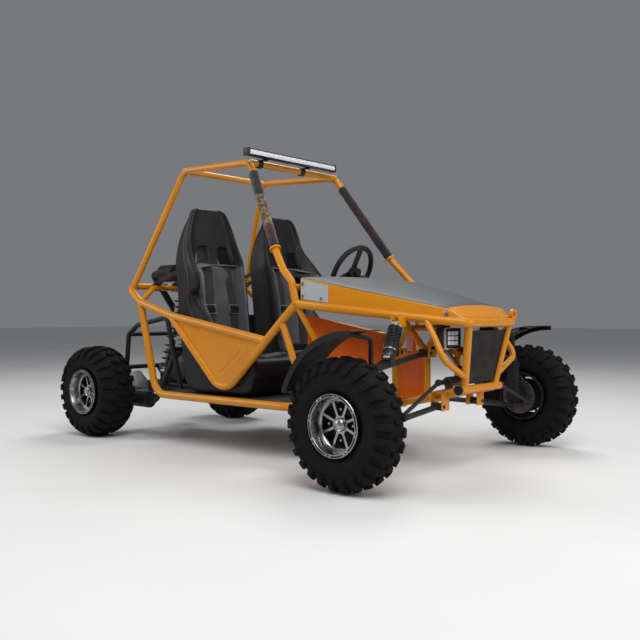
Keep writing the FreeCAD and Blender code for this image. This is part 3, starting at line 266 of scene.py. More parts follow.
def thick(piece, thickness, offset=0.0):
    """Give a sheet its wall."""
    return modified(piece, "SOLIDIFY", thickness=thickness, offset=offset)


def merged(name, parts):
    """Join the parts into one mesh with this name."""
    nothing_selected()
    for part in parts:
        part.select_set(True)
    bpy.context.view_layer.objects.active = parts[0]
    bpy.ops.object.join()
    piece = bpy.context.view_layer.objects.active
    piece.name = name
    piece.data.name = name
    return piece


def copied(piece, change):
    """A copy with its own mesh, moved by the matrix."""
    alone(piece)
    bpy.ops.object.duplicate(linked=False)
    copy = bpy.context.view_layer.objects.active
    copy.data.transform(change)
    if change.determinant() < 0:
        copy.data.flip_normals()
    return copy


def turned(angle, axis, centre):
    """Turn about an axis through the centre."""
    centre = Vector(centre)
    return Matrix.Translation(centre) @ Matrix.Rotation(angle, 4, Vector(axis)) @ Matrix.Translation(-centre)


def ring_of(piece, count, hub):
    """The piece and its copies, evenly spaced round an axle."""
    copies = [piece]
    for index in range(1, count):
        copies.append(copied(piece, turned(2 * math.pi * index / count, AXLE, hub)))
    return copies


def row_of(piece, count, step):
    """The piece and its copies, evenly spaced across the buggy."""
    return [piece] + [copied(piece, Matrix.Translation((0, index * step, 0))) for index in range(1, count)]


def cut_by(piece, cutters):
    """Cut the cutters out of the piece and delete them."""
    cutter = merged("cutter", cutters) if len(cutters) > 1 else cutters[0]
    modified(piece, "BOOLEAN", object=cutter, operation="DIFFERENCE", solver="EXACT")
    bpy.data.objects.remove(cutter)
    return piece


bend_steps = 6
bend_room_share = 0.48
smallest_trim = 0.05 * MM


def rounded(points, bend):
    """The points with each inner corner replaced by a round bend."""
    points = [Vector(point) for point in points]
    line = [points[0]]
    for before, corner, after in zip(points, points[1:], points[2:]):
        inward = (corner - before).normalized()
        onward = (after - corner).normalized()
        half_turn = inward.angle(onward) / 2
        room = bend_room_share * min((corner - before).length, (after - corner).length)
        trim = min(bend * math.tan(half_turn), room)
        if trim < smallest_trim:
            line.append(corner)
            continue
        start = corner - inward * trim
        end = corner + onward * trim
        for step in range(bend_steps + 1):
            share = step / bend_steps
            line.append(start.lerp(corner, share).lerp(corner.lerp(end, share), share))
    line.append(points[-1])
    return line


pipe_resolution = 2


def pipe(name, points, radius, bend=0.0):
    """A round tube along straight runs with rounded corners."""
    alone(drawn(name, rounded(points, bend) if bend else points))
    bpy.ops.object.convert(target="CURVE")
    piece = bpy.context.view_layer.objects.active
    piece.data.bevel_depth = radius
    piece.data.bevel_resolution = pipe_resolution
    piece.data.use_fill_caps = True
    bpy.ops.object.convert(target="MESH")
    return smooth(named(name), 50)


def smooth_route(rows, count):
    """Points evenly along a smooth line through the rows."""
    return [Vector(row) for row in along_line(rows, count)]


def along_line(rows, count):
    """Rows read off evenly along a smooth line through the given rows of numbers."""
    rows = [[float(value) for value in row] for row in rows]
    read = []
    for index in range(count):
        place = index / (count - 1) * (len(rows) - 1)
        first = min(int(place), len(rows) - 2)
        share = place - first
        before = rows[max(first - 1, 0)]
        start = rows[first]
        end = rows[first + 1]
        after = rows[min(first + 2, len(rows) - 1)]
        row = []
        for a, b, c, d in zip(before, start, end, after):
            slope_in = (c - a) / 2
            slope_out = (d - b) / 2
            curve = 2 * (b - c) + slope_in + slope_out
            bow = 3 * (c - b) - 2 * slope_in - slope_out
            row.append(((curve * share + bow) * share + slope_in) * share + b)
        read.append(row)
    return read


def lofted(name, rings, closed=True):
    """A skin over rings of points, closed round and capped at both ends when asked."""
    around = len(rings[0])
    columns = around if closed else around - 1
    nothing_selected()
    bpy.ops.mesh.primitive_grid_add(x_subdivisions=columns, y_subdivisions=len(rings) - 1, size=1)
    piece = named(name)
    width = columns + 1
    for row, ring in enumerate(rings):
        for column in range(width):
            piece.data.vertices[row * width + column].co = ring[column % around]
    if closed:
        picked(piece, lambda item: True, "VERT")
        bpy.ops.mesh.remove_doubles(threshold=weld_distance)
        bpy.ops.mesh.select_all(action="DESELECT")
        for end in (rings[0], rings[-1]):
            middle = sum((Vector(point) for point in end), Vector()) / around
            reach = max((Vector(point) - middle).length for point in end) + weld_distance
            capped(piece, middle, reach)
    return outward(piece)


def capped(piece, middle, reach):
    """Close the open edge that lies round the middle with a fan of faces."""
    def on_rim(edge):
        near = all((vert.co - middle).length <= reach for vert in edge.verts)
        return edge.is_boundary and near

    picked(piece, on_rim, "EDGE")
    bpy.ops.mesh.edge_face_add()
    bpy.ops.mesh.poke()
    done()


def ribbon(name, points, width, thickness, across=(0, 1, 0), count=40):
    """A flat strap that follows a smooth line, as wide as given across it."""
    line = smooth_route(points, count)
    half = Vector(across) * (width / 2)
    strap = lofted(name, [[point - half, point, point + half] for point in line], closed=False)
    thick(strap, thickness)
    return smooth(strap, 50)


def dressed(piece, finish, body, stands_for=()):
    """Give a piece its finish and its body, and hide the solids that it stands for."""
    piece.data.materials.clear()
    piece.data.materials.append(finish)
    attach(piece, body)
    if stands_for:
        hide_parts(*stands_for)
    return piece


def dressed_group(name, parts, finish, body, stands_for=(), angle=35.0):
    """Join the parts to one smooth piece and dress it."""
    return dressed(smooth(merged(name, parts), angle), finish, body, stands_for)


# Finishes

def finish(name, colour, roughness, metallic=0.0, coat=0.0, sheen=0.0, specular=0.5):
    """A principled material with plain values on the shader's own sockets."""
    material = bpy.data.materials.new(name)
    material.use_nodes = True
    sockets = material.node_tree.nodes["Principled BSDF"].inputs
    sockets["Base Color"].default_value = (*colour, 1)
    sockets["Roughness"].default_value = roughness
    sockets["Metallic"].default_value = metallic
    sockets["Specular IOR Level"].default_value = specular
    sockets["Coat Weight"].default_value = coat
    sockets["Coat Roughness"].default_value = 0.06
    sockets["Sheen Weight"].default_value = sheen
    return material


def wired(material, kind, sources=None, **values):
    """Add a node; sources link its inputs, and values set its properties."""
    node = material.node_tree.nodes.new(kind)
    for key, value in values.items():
        setattr(node, key, value)
    for socket, source in (sources or {}).items():
        if isinstance(source, bpy.types.NodeSocket):
            material.node_tree.links.new(source, node.inputs[socket])
        else:
            node.inputs[socket].default_value = source
    return node


def to_shader(material, socket, source):
    """Link a value into the principled shader."""
    shader = material.node_tree.nodes["Principled BSDF"]
    material.node_tree.links.new(source, shader.inputs[socket])


def place_on(material):
    """The point on the piece."""
    return wired(material, "ShaderNodeTexCoord").outputs["Object"]


def noise(material, scale, detail=4.0):
    """Cloudy pattern between 0 and 1."""
    sources = {"Vector": place_on(material), "Scale": scale, "Detail": detail}
    return wired(material, "ShaderNodeTexNoise", sources).outputs["Fac"]


def cells(material, scale):
    """Pebbled pattern, low in the middle of each cell."""
    sources = {"Vector": place_on(material), "Scale": scale}
    return wired(material, "ShaderNodeTexVoronoi", sources).outputs["Distance"]


def scaled(colour, share):
    """The colour, darker below a share of 1 and lighter above."""
    return tuple(value * share for value in colour)


def ranged(material, source, low, high, start=0.0, end=1.0):
    """The source's stretch from low to high, brought to start to end."""
    sources = {"Value": source, "From Min": low, "From Max": high, "To Min": start, "To Max": end}
    return wired(material, "ShaderNodeMapRange", sources).outputs["Result"]


def combined(material, first, second, operation):
    """Two values put together."""
    return wired(material, "ShaderNodeMath", {0: first, 1: second}, operation=operation).outputs[0]


def blended(material, share, first, second):
    """Colour between two colours or colour sockets."""
    node = wired(material, "ShaderNodeMix", {"Factor": share}, data_type="RGBA")
    for index, colour in ((6, first), (7, second)):
        if isinstance(colour, bpy.types.NodeSocket):
            material.node_tree.links.new(colour, node.inputs[index])
        else:
            node.inputs[index].default_value = (*colour, 1)
    return node.outputs[2]


def raised(material, height, distance, strength=1.0):
    """Bump from a height, on top of what bump the material has."""
    node = wired(material, "ShaderNodeBump", {"Height": height, "Distance": distance, "Strength": strength})
    shader = material.node_tree.nodes["Principled BSDF"]
    if shader.inputs["Normal"].is_linked:
        material.node_tree.links.new(shader.inputs["Normal"].links[0].from_socket, node.inputs["Normal"])
    to_shader(material, "Normal", node.outputs["Normal"])


def facing_up(material, start, end):
    """1 where the surface faces up, 0 where it doesn't."""
    normal = wired(material, "ShaderNodeNewGeometry").outputs["Normal"]
    split = wired(material, "ShaderNodeSeparateXYZ", {"Vector": normal})
    return ranged(material, split.outputs["Z"], start, end)


def dusted(material, colour, dust, amount, scale=9.0, low=0.45, high=0.75, rise=0.25):
    """Colour with dust in patches, more of it where the surface faces up, and rougher there."""
    patches = ranged(material, noise(material, scale, 6), low, high, 0, amount)
    upward = facing_up(material, -0.2, 1.0)
    share = combined(material, patches, ranged(material, upward, 0, 1, rise, 1), "MULTIPLY")
    to_shader(material, "Base Color", blended(material, share, colour, dust))
    return share


def mottled(material, scale, first, second, low=0.3, high=0.7):
    """Base colour that drifts between two colours."""
    share = ranged(material, noise(material, scale, 5.0), low, high)
    colour = blended(material, share, first, second)
    to_shader(material, "Base Color", colour)
    return colour


def uneven(material, scale, low, high):
    """Roughness that drifts between two values."""
    to_shader(material, "Roughness", ranged(material, noise(material, scale), 0.3, 0.7, low, high))


def paint(name, colour, shade):
    """Gloss paint with a faint orange peel and a little road dust."""
    material = finish(name, colour, 0.30, coat=0.18, specular=0.3)
    base = mottled(material, 3.0, colour, shade, 0.35, 0.75)
    dusted(material, base, (0.30, 0.17, 0.07), 0.07, 11.0)
    uneven(material, 26.0, 0.22, 0.36)
    raised(material, noise(material, 900.0, 2), 0.0003, 0.25)
    return material


def satin(name, colour):
    """Smooth satin lacquer that darkens slightly in patches."""
    material = finish(name, colour, 0.42, specular=0.5)
    base = mottled(material, 2.4, colour, scaled(colour, 0.75))
    dusted(material, base, (0.16, 0.15, 0.13), 0.10, 7.0)
    uneven(material, 9.0, 0.38, 0.50)
    return material


def rubber(name, colour, dust, amount):
    """Tyre rubber with a little dust in patches."""
    material = finish(name, colour, 0.7, specular=0.08)
    dusted(material, colour, dust, amount, 14.0, 0.35, 0.8, 0.6)
    uneven(material, 40.0, 0.58, 0.82)
    raised(material, noise(material, 240.0, 5), 0.0006, 0.45)
    return material


def machined(name, colour, roughness):
    """Turned bright metal with fine tool marks and stains."""
    material = finish(name, colour, roughness, metallic=1.0)
    mottled(material, 22.0, colour, scaled(colour, 0.62), 0.45, 0.85)
    uneven(material, 30.0, roughness * 0.7, roughness * 1.5)
    raised(material, noise(material, 700.0, 3), 0.0001, 0.08)
    return material


def cast(name, colour, roughness=0.5):
    """Sand-cast alloy, dull and slightly pitted."""
    material = finish(name, colour, roughness, metallic=0.8)
    mottled(material, 12.0, colour, scaled(colour, 0.5))
    uneven(material, 25.0, roughness * 0.8, roughness * 1.4)
    raised(material, noise(material, 500.0, 4), 0.0005, 0.5)
    return material


def coated(name, colour, roughness=0.42):
    """Powder-coated dark steel with dust."""
    material = finish(name, colour, roughness, specular=0.28)
    dusted(material, colour, (0.12, 0.10, 0.08), 0.10, 12.0)
    uneven(material, 35.0, roughness * 0.75, roughness * 1.35)
    raised(material, noise(material, 650.0, 3), 0.0003, 0.35)
    return material


def moulded(name, colour, roughness=0.55):
    """Moulded plastic with a fine leather-like grain."""
    material = finish(name, colour, roughness, specular=0.22)
    dusted(material, colour, (0.12, 0.11, 0.10), 0.08, 10.0)
    uneven(material, 18.0, roughness * 0.8, roughness * 1.25)
    raised(material, cells(material, 420.0), 0.0004, 0.35)
    return material


def vinyl(name, colour):
    """Upholstery vinyl with a pebbled grain and soft creases."""
    material = finish(name, colour, 0.44, specular=0.22)
    mottled(material, 9.0, colour, scaled(colour, 1.7))
    uneven(material, 14.0, 0.34, 0.55)
    raised(material, cells(material, 520.0), 0.0004, 0.4)
    raised(material, noise(material, 16.0, 3), 0.003, 0.25)
    return material


def woven(name, colour, shade, scale=620.0):
    """Plain woven cloth: two crossed bands of threads."""
    material = finish(name, colour, 0.85, sheen=0.3, specular=0.25)
    where = place_on(material)
    bands = []
    for direction in ("X", "Z"):
        sources = {"Vector": where, "Scale": scale * 0.5, "Distortion": 0.6, "Detail": 1.0}
        bands.append(wired(material, "ShaderNodeTexWave", sources, bands_direction=direction).outputs["Fac"])
    weave = combined(material, bands[0], bands[1], "MULTIPLY")
    worn = ranged(material, noise(material, 12.0, 5), 0.3, 0.7)
    ground = blended(material, worn, colour, shade)
    gaps = ranged(material, weave, 0, 1, 0.35, 0)
    to_shader(material, "Base Color", blended(material, gaps, ground, shade))
    raised(material, weave, 0.0006, 0.5)
    return material


class BuggySizes(bpy.types.PropertyGroup):
    """Sizes and counts that can be changed before the pieces are built."""

    lug_height: FloatProperty(
        name="Lug height",
        description="How far the tread stands off the carcass",
        default=0.012,
        subtype="DISTANCE",
    )
    front_pitches: IntProperty(
        name="Front lugs", description="Shoulder lugs on each side of a front tyre", default=26
    )
    rear_pitches: IntProperty(
        name="Rear lugs", description="Shoulder lugs on each side of a rear tyre", default=24
    )
    floor_size: FloatProperty(
        name="Floor", description="Side of the studio floor", default=60.0, subtype="DISTANCE"
    )
    lamp_power: FloatProperty(
        name="Soft boxes", description="Power of the key soft box", default=168.0, unit="POWER"
    )


class BuggyColours(bpy.types.PropertyGroup):
    """Colours of the finishes."""

    body: FloatVectorProperty(
        name="Body", description="Tubes and panels", default=(0.66, 0.245, 0.004), subtype="COLOR"
    )
    silver: FloatVectorProperty(
        name="Silver", description="Top of the hood", default=(0.060, 0.066, 0.070), subtype="COLOR"
    )


# Camera and studio

camera_place = Vector((2.7728, -2.9734, 0.6405))
camera_azimuth = math.radians(40.96)
camera_pitch = math.radians(0.5)
camera_focal_pixels = 823.05
photo_pixels = 640
film_width_mm = 36.0
nearest_seen = 0.05
farthest_seen = 200.0
soft_boxes = (
    # name, place, aim, size, share of the lamp power
    ("key_box", (2.6, -2.2, 4.2), (0.0, 0.0, 0.6), 3.4, 1.0),
    ("fill_box", (-3.6, -3.4, 2.6), (-0.2, 0.0, 0.5), 3.0, 0.45),
    ("nose_box", (4.6, 1.6, 2.2), (0.6, 0.0, 0.5), 2.4, 0.4),
    ("rim_box", (-1.2, 2.6, 5.0), (0.0, 0.0, 0.8), 2.6, 0.7),
)


class BUGGY_OT_studio(bpy.types.Operator):
    """Pale floor, soft lights and the camera"""

    bl_idname = "buggy.studio"
    bl_label = "Studio"

    def execute(self, context):
        scene = context.scene
        scene.view_settings.view_transform = "Standard"
        nothing_selected()
        bpy.ops.object.camera_add(
            location=camera_place, rotation=(math.pi / 2 - camera_pitch, 0, camera_azimuth)
        )
        camera = context.object
        camera.name = "camera"
        camera.data.lens = camera_focal_pixels / photo_pixels * film_width_mm
        camera.data.sensor_width = film_width_mm
        camera.data.clip_start = nearest_seen
        camera.data.clip_end = farthest_seen
        scene.camera = camera

        bpy.ops.mesh.primitive_plane_add(size=scene.buggy_sizes.floor_size)
        floor = named("studio_floor")
        pale = finish("studio_pale", (0.80, 0.80, 0.79), 0.75, specular=0.3)
        mottled(pale, 0.8, (0.80, 0.80, 0.79), (0.75, 0.75, 0.74))
        raised(pale, noise(pale, 60.0), 0.0005, 0.2)
        floor.data.materials.append(pale)

        for name, place, aim, size, share in soft_boxes:
            facing = along(Vector(place) - Vector(aim))
            bpy.ops.object.light_add(type="AREA", location=place, rotation=facing)
            lamp = context.object
            lamp.name = name
            lamp.data.shape = "SQUARE"
            lamp.data.size = size
            lamp.data.energy = scene.buggy_sizes.lamp_power * share
        world = bpy.data.worlds.new("studio_sky")
        scene.world = world
        world.use_nodes = True
        sky = world.node_tree.nodes["Background"]
        sky.inputs["Color"].default_value = (0.93, 0.95, 1.0, 1)
        sky.inputs["Strength"].default_value = 0.20
        return {"FINISHED"}


# The solids of the frame that keep their shape

class BUGGY_OT_metalwork(bpy.types.Operator):
    """Paint and metal on the tubes, arms, axles and panels of the frame"""

    bl_idname = "buggy.metalwork"
    bl_label = "Frame finishes"

    def execute(self, context):
        colours = context.scene.buggy_colours
        body = tuple(colours.body)
        yellow = paint("frame_paint", body, scaled(body, 0.82))
        # Redder, deeper copy of the body paint for the footwell panels: painted shade, as the panels sit in
        # shadow.
        shaded_yellow = paint("footwell_painted_shade", (0.88, 0.15, 0.003), (0.74, 0.11, 0.002))
        black = coated("black_steel", (0.016, 0.016, 0.017))
        steel = machined("bright_steel", (0.40, 0.40, 0.41), 0.32)
        alloy = cast("cast_alloy", (0.10, 0.10, 0.105))
        smoked = moulded("smoked_plate", (0.0055, 0.0038, 0.0030), 0.5)
        plastic = moulded("black_plastic", (0.012, 0.012, 0.0125))
        floor_black = moulded("floor_black", (0.03, 0.03, 0.03), 0.6)
        finishes = {
            yellow: (
                "base_frame", "side_frame_right", "side_frame_left", "rear_hoop", "nose_frame", "roof_cage",
                "door_panels", "hood",
            ),
            shaded_yellow: ("footwell_panels",),
            black: (
                "front_arms", "engine_guard", "swing_arm", "knuckle_right", "knuckle_left", "fuel_tank",
                "rack_and_rods", "steering_column", "muffler",
            ),
            steel: (
                "lower_shaft", "rear_axle", "shocks", "springs", "front_wheel_right", "front_wheel_left",
                "rear_wheels",
            ),
            alloy: ("engine_block", "engine_cylinder", "rack_housing"),
            plastic: (
                "mudguard_right", "mudguard_left", "dash_panel", "light_bar", "headlamps", "steering_wheel",
                "pillar_pads", "seat_right", "seat_left", "harnesses", "air_filter", "front_tyre_right",
                "front_tyre_left", "rear_tyres",
            ),
            floor_black: ("floor_pan",),
            smoked: ("nose_plate",),
        }
        for material, names in finishes.items():
            for name in names:
                mesh = nodes[name].data
                mesh.materials.clear()
                mesh.materials.append(material)
        return {"FINISHED"}


# Tyres

section_sweep = math.radians(150)
section_squareness = 2 / 2.7
section_samples = 120
widest_share = 0.69
bead_tuck_share = 1.06
tyre_wall = 0.012
profile_steps = 22
carcass_steps = 120
lug_side_share = 0.80
lug_root = 0.003
lug_taper = (0.93, 0.84, 1)
lug_bevel = 0.0022
# Corners of a lug's foot: across the tread and round it
front_centre_lug = ((-0.020, 0.006), (-0.014, -0.012), (0.020, -0.002), (0.014, 0.016))
front_shoulder_lug = ((0.022, 0.020), (0.030, 0.002), (0.090, -0.006), (0.092, 0.022), (0.036, 0.034))
rear_centre_lug = ((-0.026, 0.006), (-0.018, -0.015), (0.026, -0.004), (0.018, 0.018))
rear_shoulder_lug = ((0.032, 0.022), (0.040, 0.000), (0.112, -0.006), (0.114, 0.024), (0.048, 0.036))


class TyreShape:
    """Section of one tyre: its carcass, and how lugs lie on it."""

    def __init__(self, hub, radius, width, lug_height):
        self.hub = hub
        self.lug_height = lug_height
        self.half = width / 2 - lug_height * lug_side_share
        self.crown = radius - lug_height
        self.middle = radius * widest_share
        self.line = []
        walked = 0.0
        before = None
        for index in range(section_samples + 1):
            point = self.on_section(index / section_samples)
            if before is not None:
                walked += (point - before).length
            self.line.append((walked, point))
            before = point

    def on_section(self, share):
        """Point (across, radius) of the half section, from the crown at 0 to the bead at 1."""
        angle = share * section_sweep
        across = self.half * abs(math.sin(angle)) ** section_squareness
        rise = abs(math.cos(angle)) ** section_squareness
        if math.cos(angle) >= 0:
            radius = self.middle + (self.crown - self.middle) * rise
        else:
            radius = self.middle - (self.middle - bead_radius) * bead_tuck_share * rise
        return Vector((across, max(radius, bead_radius)))

    def at(self, across, around, up):
        """Place of a point this far across and round the tread and this far above the carcass."""
        walked = abs(across)
        index = 1
        while index < len(self.line) - 1 and self.line[index][0] < walked:
            index += 1
        start, first = self.line[index - 1]
        end, second = self.line[index]
        share = (walked - start) / (end - start)
        run = (second - first).normalized()
        point = first.lerp(second, share) + Vector((-run.y, run.x)) * up
        angle = around / self.crown
        side = 1 if across >= 0 else -1
        return self.hub + Vector((point.y * math.sin(angle), side * point.x, point.y * math.cos(angle)))

    def carcass(self, name):
        """The tyre without its lugs, hollow, its two walls meeting at the beads."""
        outer = [self.on_section(step / profile_steps) for step in range(profile_steps + 1)]
        bead = Vector((outer[-1].x - tyre_wall, bead_radius))
        inner = [Vector((point.x - tyre_wall, point.y - tyre_wall)) for point in outer[:-2]]
        half = [point for point in outer + [bead] + list(reversed(inner)) if point.x > 0]
        right = [Vector((0, -point.x, point.y)) + self.hub for point in half]
        left = [Vector((0, point.x, point.y)) + self.hub for point in half]
        crown = Vector((0, 0, self.crown)) + self.hub
        under = Vector((0, 0, self.crown - tyre_wall)) + self.hub
        profile = [crown] + left + [under] + list(reversed(right)) + [crown]
        return smooth(spun(name, profile, self.hub, AXLE, carcass_steps), 60)

    def lug(self, corners, slices=5):
        """One lug with bevelled edges, modelled flat and laid on the carcass."""
        low_across = min(across for across, around in corners)
        high_across = max(across for across, around in corners)
        foot = [(across, around, -lug_root) for across, around in corners]
        flat = slab("lug", foot, (0, 0, self.lug_height + lug_root))
        bpy.ops.transform.resize(value=lug_taper)
        for cut in range(1, slices):
            bpy.ops.mesh.select_all(action="SELECT")
            place = low_across + (high_across - low_across) * cut / slices
            bpy.ops.mesh.bisect(plane_co=(place, 0, 0), plane_no=(1, 0, 0))
        done()
        outward(flat)
        bevelled(flat, lug_bevel, 2, 40)
        for vert in flat.data.vertices:
            vert.co = self.at(*vert.co)
        return outward(flat)


def tread(shape, name, pitches, centre_lug, shoulder_lug):
    """Carcass with centre and shoulder lugs, the two sides half a pitch apart."""
    arc = 2 * math.pi / pitches * shape.crown
    parts = []
    for side in (RIGHT, LEFT):
        offset = arc / 2 if side == LEFT else 0.0
        corners = [(side * across, around + offset) for across, around in shoulder_lug]
        parts += ring_of(smooth(shape.lug(corners), 40), pitches, shape.hub)
    parts += ring_of(smooth(shape.lug(centre_lug, 3), 40), pitches, shape.hub)
    return merged(name, [shape.carcass(name)] + parts)


class BUGGY_OT_tyres(bpy.types.Operator):
    """Knobby tyres, each lug laid on the carcass"""

    bl_idname = "buggy.tyres"
    bl_label = "Tyres"

    def execute(self, context):
        sizes = context.scene.buggy_sizes
        tyre_rubber = rubber("tyre_rubber", (0.0085, 0.0085, 0.0090), (0.032, 0.028, 0.022), 0.09)
        for side, word in SIDE_WORDS:
            node = "front_tyre_" + word
            shape = TyreShape(front_hub[side], front_tyre_radius, front_tyre_width, sizes.lug_height)
            tyre = tread(shape, node + "_knobby", sizes.front_pitches, front_centre_lug, front_shoulder_lug)
            dressed(tyre, tyre_rubber, "front_wheel_" + word, (node,))
        pair = []
        for side in (RIGHT, LEFT):
            shape = TyreShape(rear_hub[side], rear_tyre_radius, rear_tyre_width, sizes.lug_height)
            pair.append(tread(shape, "rear_tyre", sizes.rear_pitches, rear_centre_lug, rear_shoulder_lug))
        dressed(merged("rear_tyres_knobby", pair), tyre_rubber, "rear_axle", ("rear_tyres",))
        return {"FINISHED"}


# Seats and their belts

seat_y = 0.250
seat_rails_mm = (
    # x and z of the middle; x, z and half width at the outer bolster; x and z of the inner bolster; x and z
    # of the back; the seat's half width; the bolster's width
    (150, 372, 152, 368, 138, 152, 368, 138, 330, 138, 40),
    (130, 424, 136, 434, 154, 134, 430, 118, 275, 154, 52),
    (40, 430, 54, 470, 160, 44, 448, 40, 262, 160, 58),
    (-80, 408, -40, 486, 163, -66, 436, -80, 262, 163, 62),
    (-172, 396, -92, 506, 164, -128, 446, -262, 262, 164, 64),
    (-218, 446, -112, 556, 162, -160, 476, -336, 330, 164, 64),
    (-232, 560, -140, 600, 160, -182, 560, -350, 470, 163, 62),
    (-250, 700, -236, 716, 164, -200, 705, -366, 640, 165, 60),
    (-262, 780, -176, 765, 206, -213, 780, -374, 720, 166, 58),
    (-272, 850, -172, 822, 214, -228, 846, -382, 810, 167, 56),
    (-284, 910, -214, 880, 206, -243, 902, -388, 880, 168, 50),
    (-296, 975, -284, 985, 166, -266, 972, -386, 960, 154, 44),
    (-308, 1050, -296, 1058, 142, -290, 1056, -368, 1040, 138, 38),
    (-316, 1108, -304, 1114, 118, -302, 1113, -348, 1100, 116, 30),
    (-321, 1136, -313, 1139, 105, -311, 1138, -345, 1130, 104, 26),
    (-327, 1150, -323, 1151, 88, -321, 1151, -342, 1146, 88, 20),
    (-334, 1155, -333, 1155, 62, -333, 1155, -338, 1154, 62, 12),
)
half_section_shares = (
    # share of half width, share of bolster width; weights of middle, bolster top and back
    (0.0, 0.0, 1.0, 0.0, 0.0),
    (0.5, -0.5, 1.0, 0.0, 0.0),
    (1.0, -1.0, 0.97, 0.03, 0.0),
    (1.0, -0.72, 0.60, 0.40, 0.0),
    (1.0, -0.50, 0.12, 0.88, 0.0),
    (1.0, -0.27, 0.0, 1.0, 0.0),
    (1.0, -0.05, 0.0, 0.90, 0.10),
    (1.0, 0.0, 0.0, 0.62, 0.38),
    (0.98, 0.0, 0.0, 0.30, 0.70),
    (0.93, 0.0, 0.0, 0.04, 0.96),
    (0.50, 0.0, 0.0, 0.0, 1.0),
    (0.0, 0.0, 0.0, 0.0, 1.0),
)
section_steps = 42
station_steps = 72


def seat_rings(side):
    """Rings round the seat from lip to headrest, over the outer bolster and back over the inner."""
    section = along_line(half_section_shares, section_steps)
    rings = []
    for row in along_line(seat_rails_mm, station_steps):
        cx, cz, outer_x, outer_z, flare, inner_x, inner_z, dx, dz, half, edge = (value * MM for value in row)
        halves = []
        bolsters = ((outer_x, outer_z, flare, side), (inner_x, inner_z, half, -side))
        for top_x, top_z, top_half, hand in bolsters:
            points = []
            for width_share, edge_share, middle, top, back in section:
                across = (half * (middle + back) + top_half * top) * width_share + edge * edge_share
                x = cx * middle + top_x * top + dx * back
                z = cz * middle + top_z * top + dz * back
                points.append(Vector((x, side * seat_y + hand * across, z)))
            halves.append(points)
        outer, inner = halves
        rings.append(outer + list(reversed(inner[1:-1])))
    return rings


def front_strip(rings, outer_reach, inner_reach):
    """Rows of points over the seat's front only, from the inner side to the outer side."""
    around = len(rings[0])
    return [[ring[index % around] for index in range(-inner_reach, outer_reach + 1)] for ring in rings]


def normals_of(rows):
    """Unit normals of a grid of points, pointing out of the seat's front."""
    found = []
    for index, row in enumerate(rows):
        above = rows[min(index + 1, len(rows) - 1)]
        below = rows[max(index - 1, 0)]
        line = []
        for place in range(len(row)):
            onward = row[min(place + 1, len(row) - 1)] - row[max(place - 1, 0)]
            upward = above[place] - below[place]
            normal = onward.cross(upward).normalized()
            line.append(normal if normal.x > 0 or (abs(normal.x) < 0.3 and normal.z > 0) else -normal)
        found.append(line)
    return found


fabric_first_row = 7
fabric_last_row = 42
fabric_outer_reach = 15
fabric_inner_reach = 17
fabric_hump = 0.013
fabric_floor = 0.006
fabric_lift = 0.0015
fabric_depth = 0.004
fabric_columns = 3
fabric_end_rise = 14
fabric_side_rise = 16


def seat_fabric(name, rings):
    """Padded panel in three upright columns, wrapped from bolster to bolster and rounded off."""
    rows = front_strip(rings[fabric_first_row:fabric_last_row + 1], fabric_outer_reach, fabric_inner_reach)
    normals = normals_of(rows)
    loops = []
    for index, (row, outs) in enumerate(zip(rows, normals)):
        upright = index / (len(rows) - 1)
        ending = min(1.0, min(upright, 1 - upright) * fabric_end_rise)
        front = []
        back = []
        for place, (point, out) in enumerate(zip(row, outs)):
            across = place / (len(row) - 1)
            hump = abs(math.sin(math.pi * across * fabric_columns)) ** 0.5
            edge = min(1.0, min(across, 1 - across) * fabric_side_rise)
            height = (fabric_floor + fabric_hump * hump) * math.sqrt(ending) * math.sqrt(edge) + fabric_lift
            front.append(point + out * height)
            back.append(point - out * fabric_depth)
        loops.append(front + list(reversed(back)))
    return smooth(lofted(name, loops), 80)


crest_first_row = 22
crest_last_row = 60
crest_point = 26
crest_inward_point = 30
crest_proud = 0.002
welt_radius = 0.0028


def seat_piping(name, rings):
    """Welt along the crest of the outer wing, from beside the headrest to the hip; its pale finish is a
    painted highlight.
    """
    crest = []
    for ring in rings[crest_first_row:crest_last_row]:
        out = (ring[crest_point] - ring[crest_inward_point]).normalized()
        crest.append(ring[crest_point] + out * crest_proud)
    return pipe(name, crest, welt_radius)


belt_hole_inner = 0.021
belt_hole_outer = 0.134
belt_hole_low = 0.872
belt_hole_high = 0.970
belt_hole_slant = 0.036
belt_hole_step = 0.006
belt_hole_corner = 0.018
belt_hole_depth = 0.6
belt_hole_front = -0.296
roll_radius = 0.007
roll_bend = 0.022
roll_margin = 0.004
roll_proud = 0.010
backrest_lean_share = 0.17


def hole_corners(middle, hand, grow=0.0):
    """Corners (y, z) of one belt hole, flat below and leaning inwards above."""
    corners = (
        (belt_hole_inner - grow, belt_hole_low),
        (belt_hole_outer + grow, belt_hole_low),
        (belt_hole_outer - belt_hole_slant + grow, belt_hole_high + grow),
        (belt_hole_inner + belt_hole_step - grow, belt_hole_high + grow),
    )
    return [(middle + hand * y, z) for y, z in corners]


def belt_hole(middle, hand):
    """Cutter for one belt hole, rounded at its corners."""
    outline = [(-belt_hole_depth, y, z) for y, z in hole_corners(middle, hand)]
    hole = slab("belt_hole", outline, (belt_hole_depth, 0, 0))
    return long_edges_rounded(hole, 0, belt_hole_depth / 2, belt_hole_corner)


def hole_rim(middle, hand):
    """Raised vinyl roll over the top and down the sides of a belt hole."""
    first, *others = hole_corners(middle, hand, roll_margin)
    points = []
    for y, z in others + [first]:
        lean = (z - belt_hole_low) * backrest_lean_share
        points.append(Vector((belt_hole_front - lean + roll_proud, y, z)))
    return pipe("hole_rim", points, roll_radius, roll_bend)


strap_width = 0.050
lap_width = 0.048
strap_thickness = 0.0032
strap_top_offset = 0.060
strap_low_offset = 0.076
strap_heights = (0.44, 0.50, 0.58, 0.655, 0.74, 0.82, 0.860)
strap_spread_z = 0.655
strap_lift = 0.013
strap_bow = 0.008
strap_bow_length = 0.43
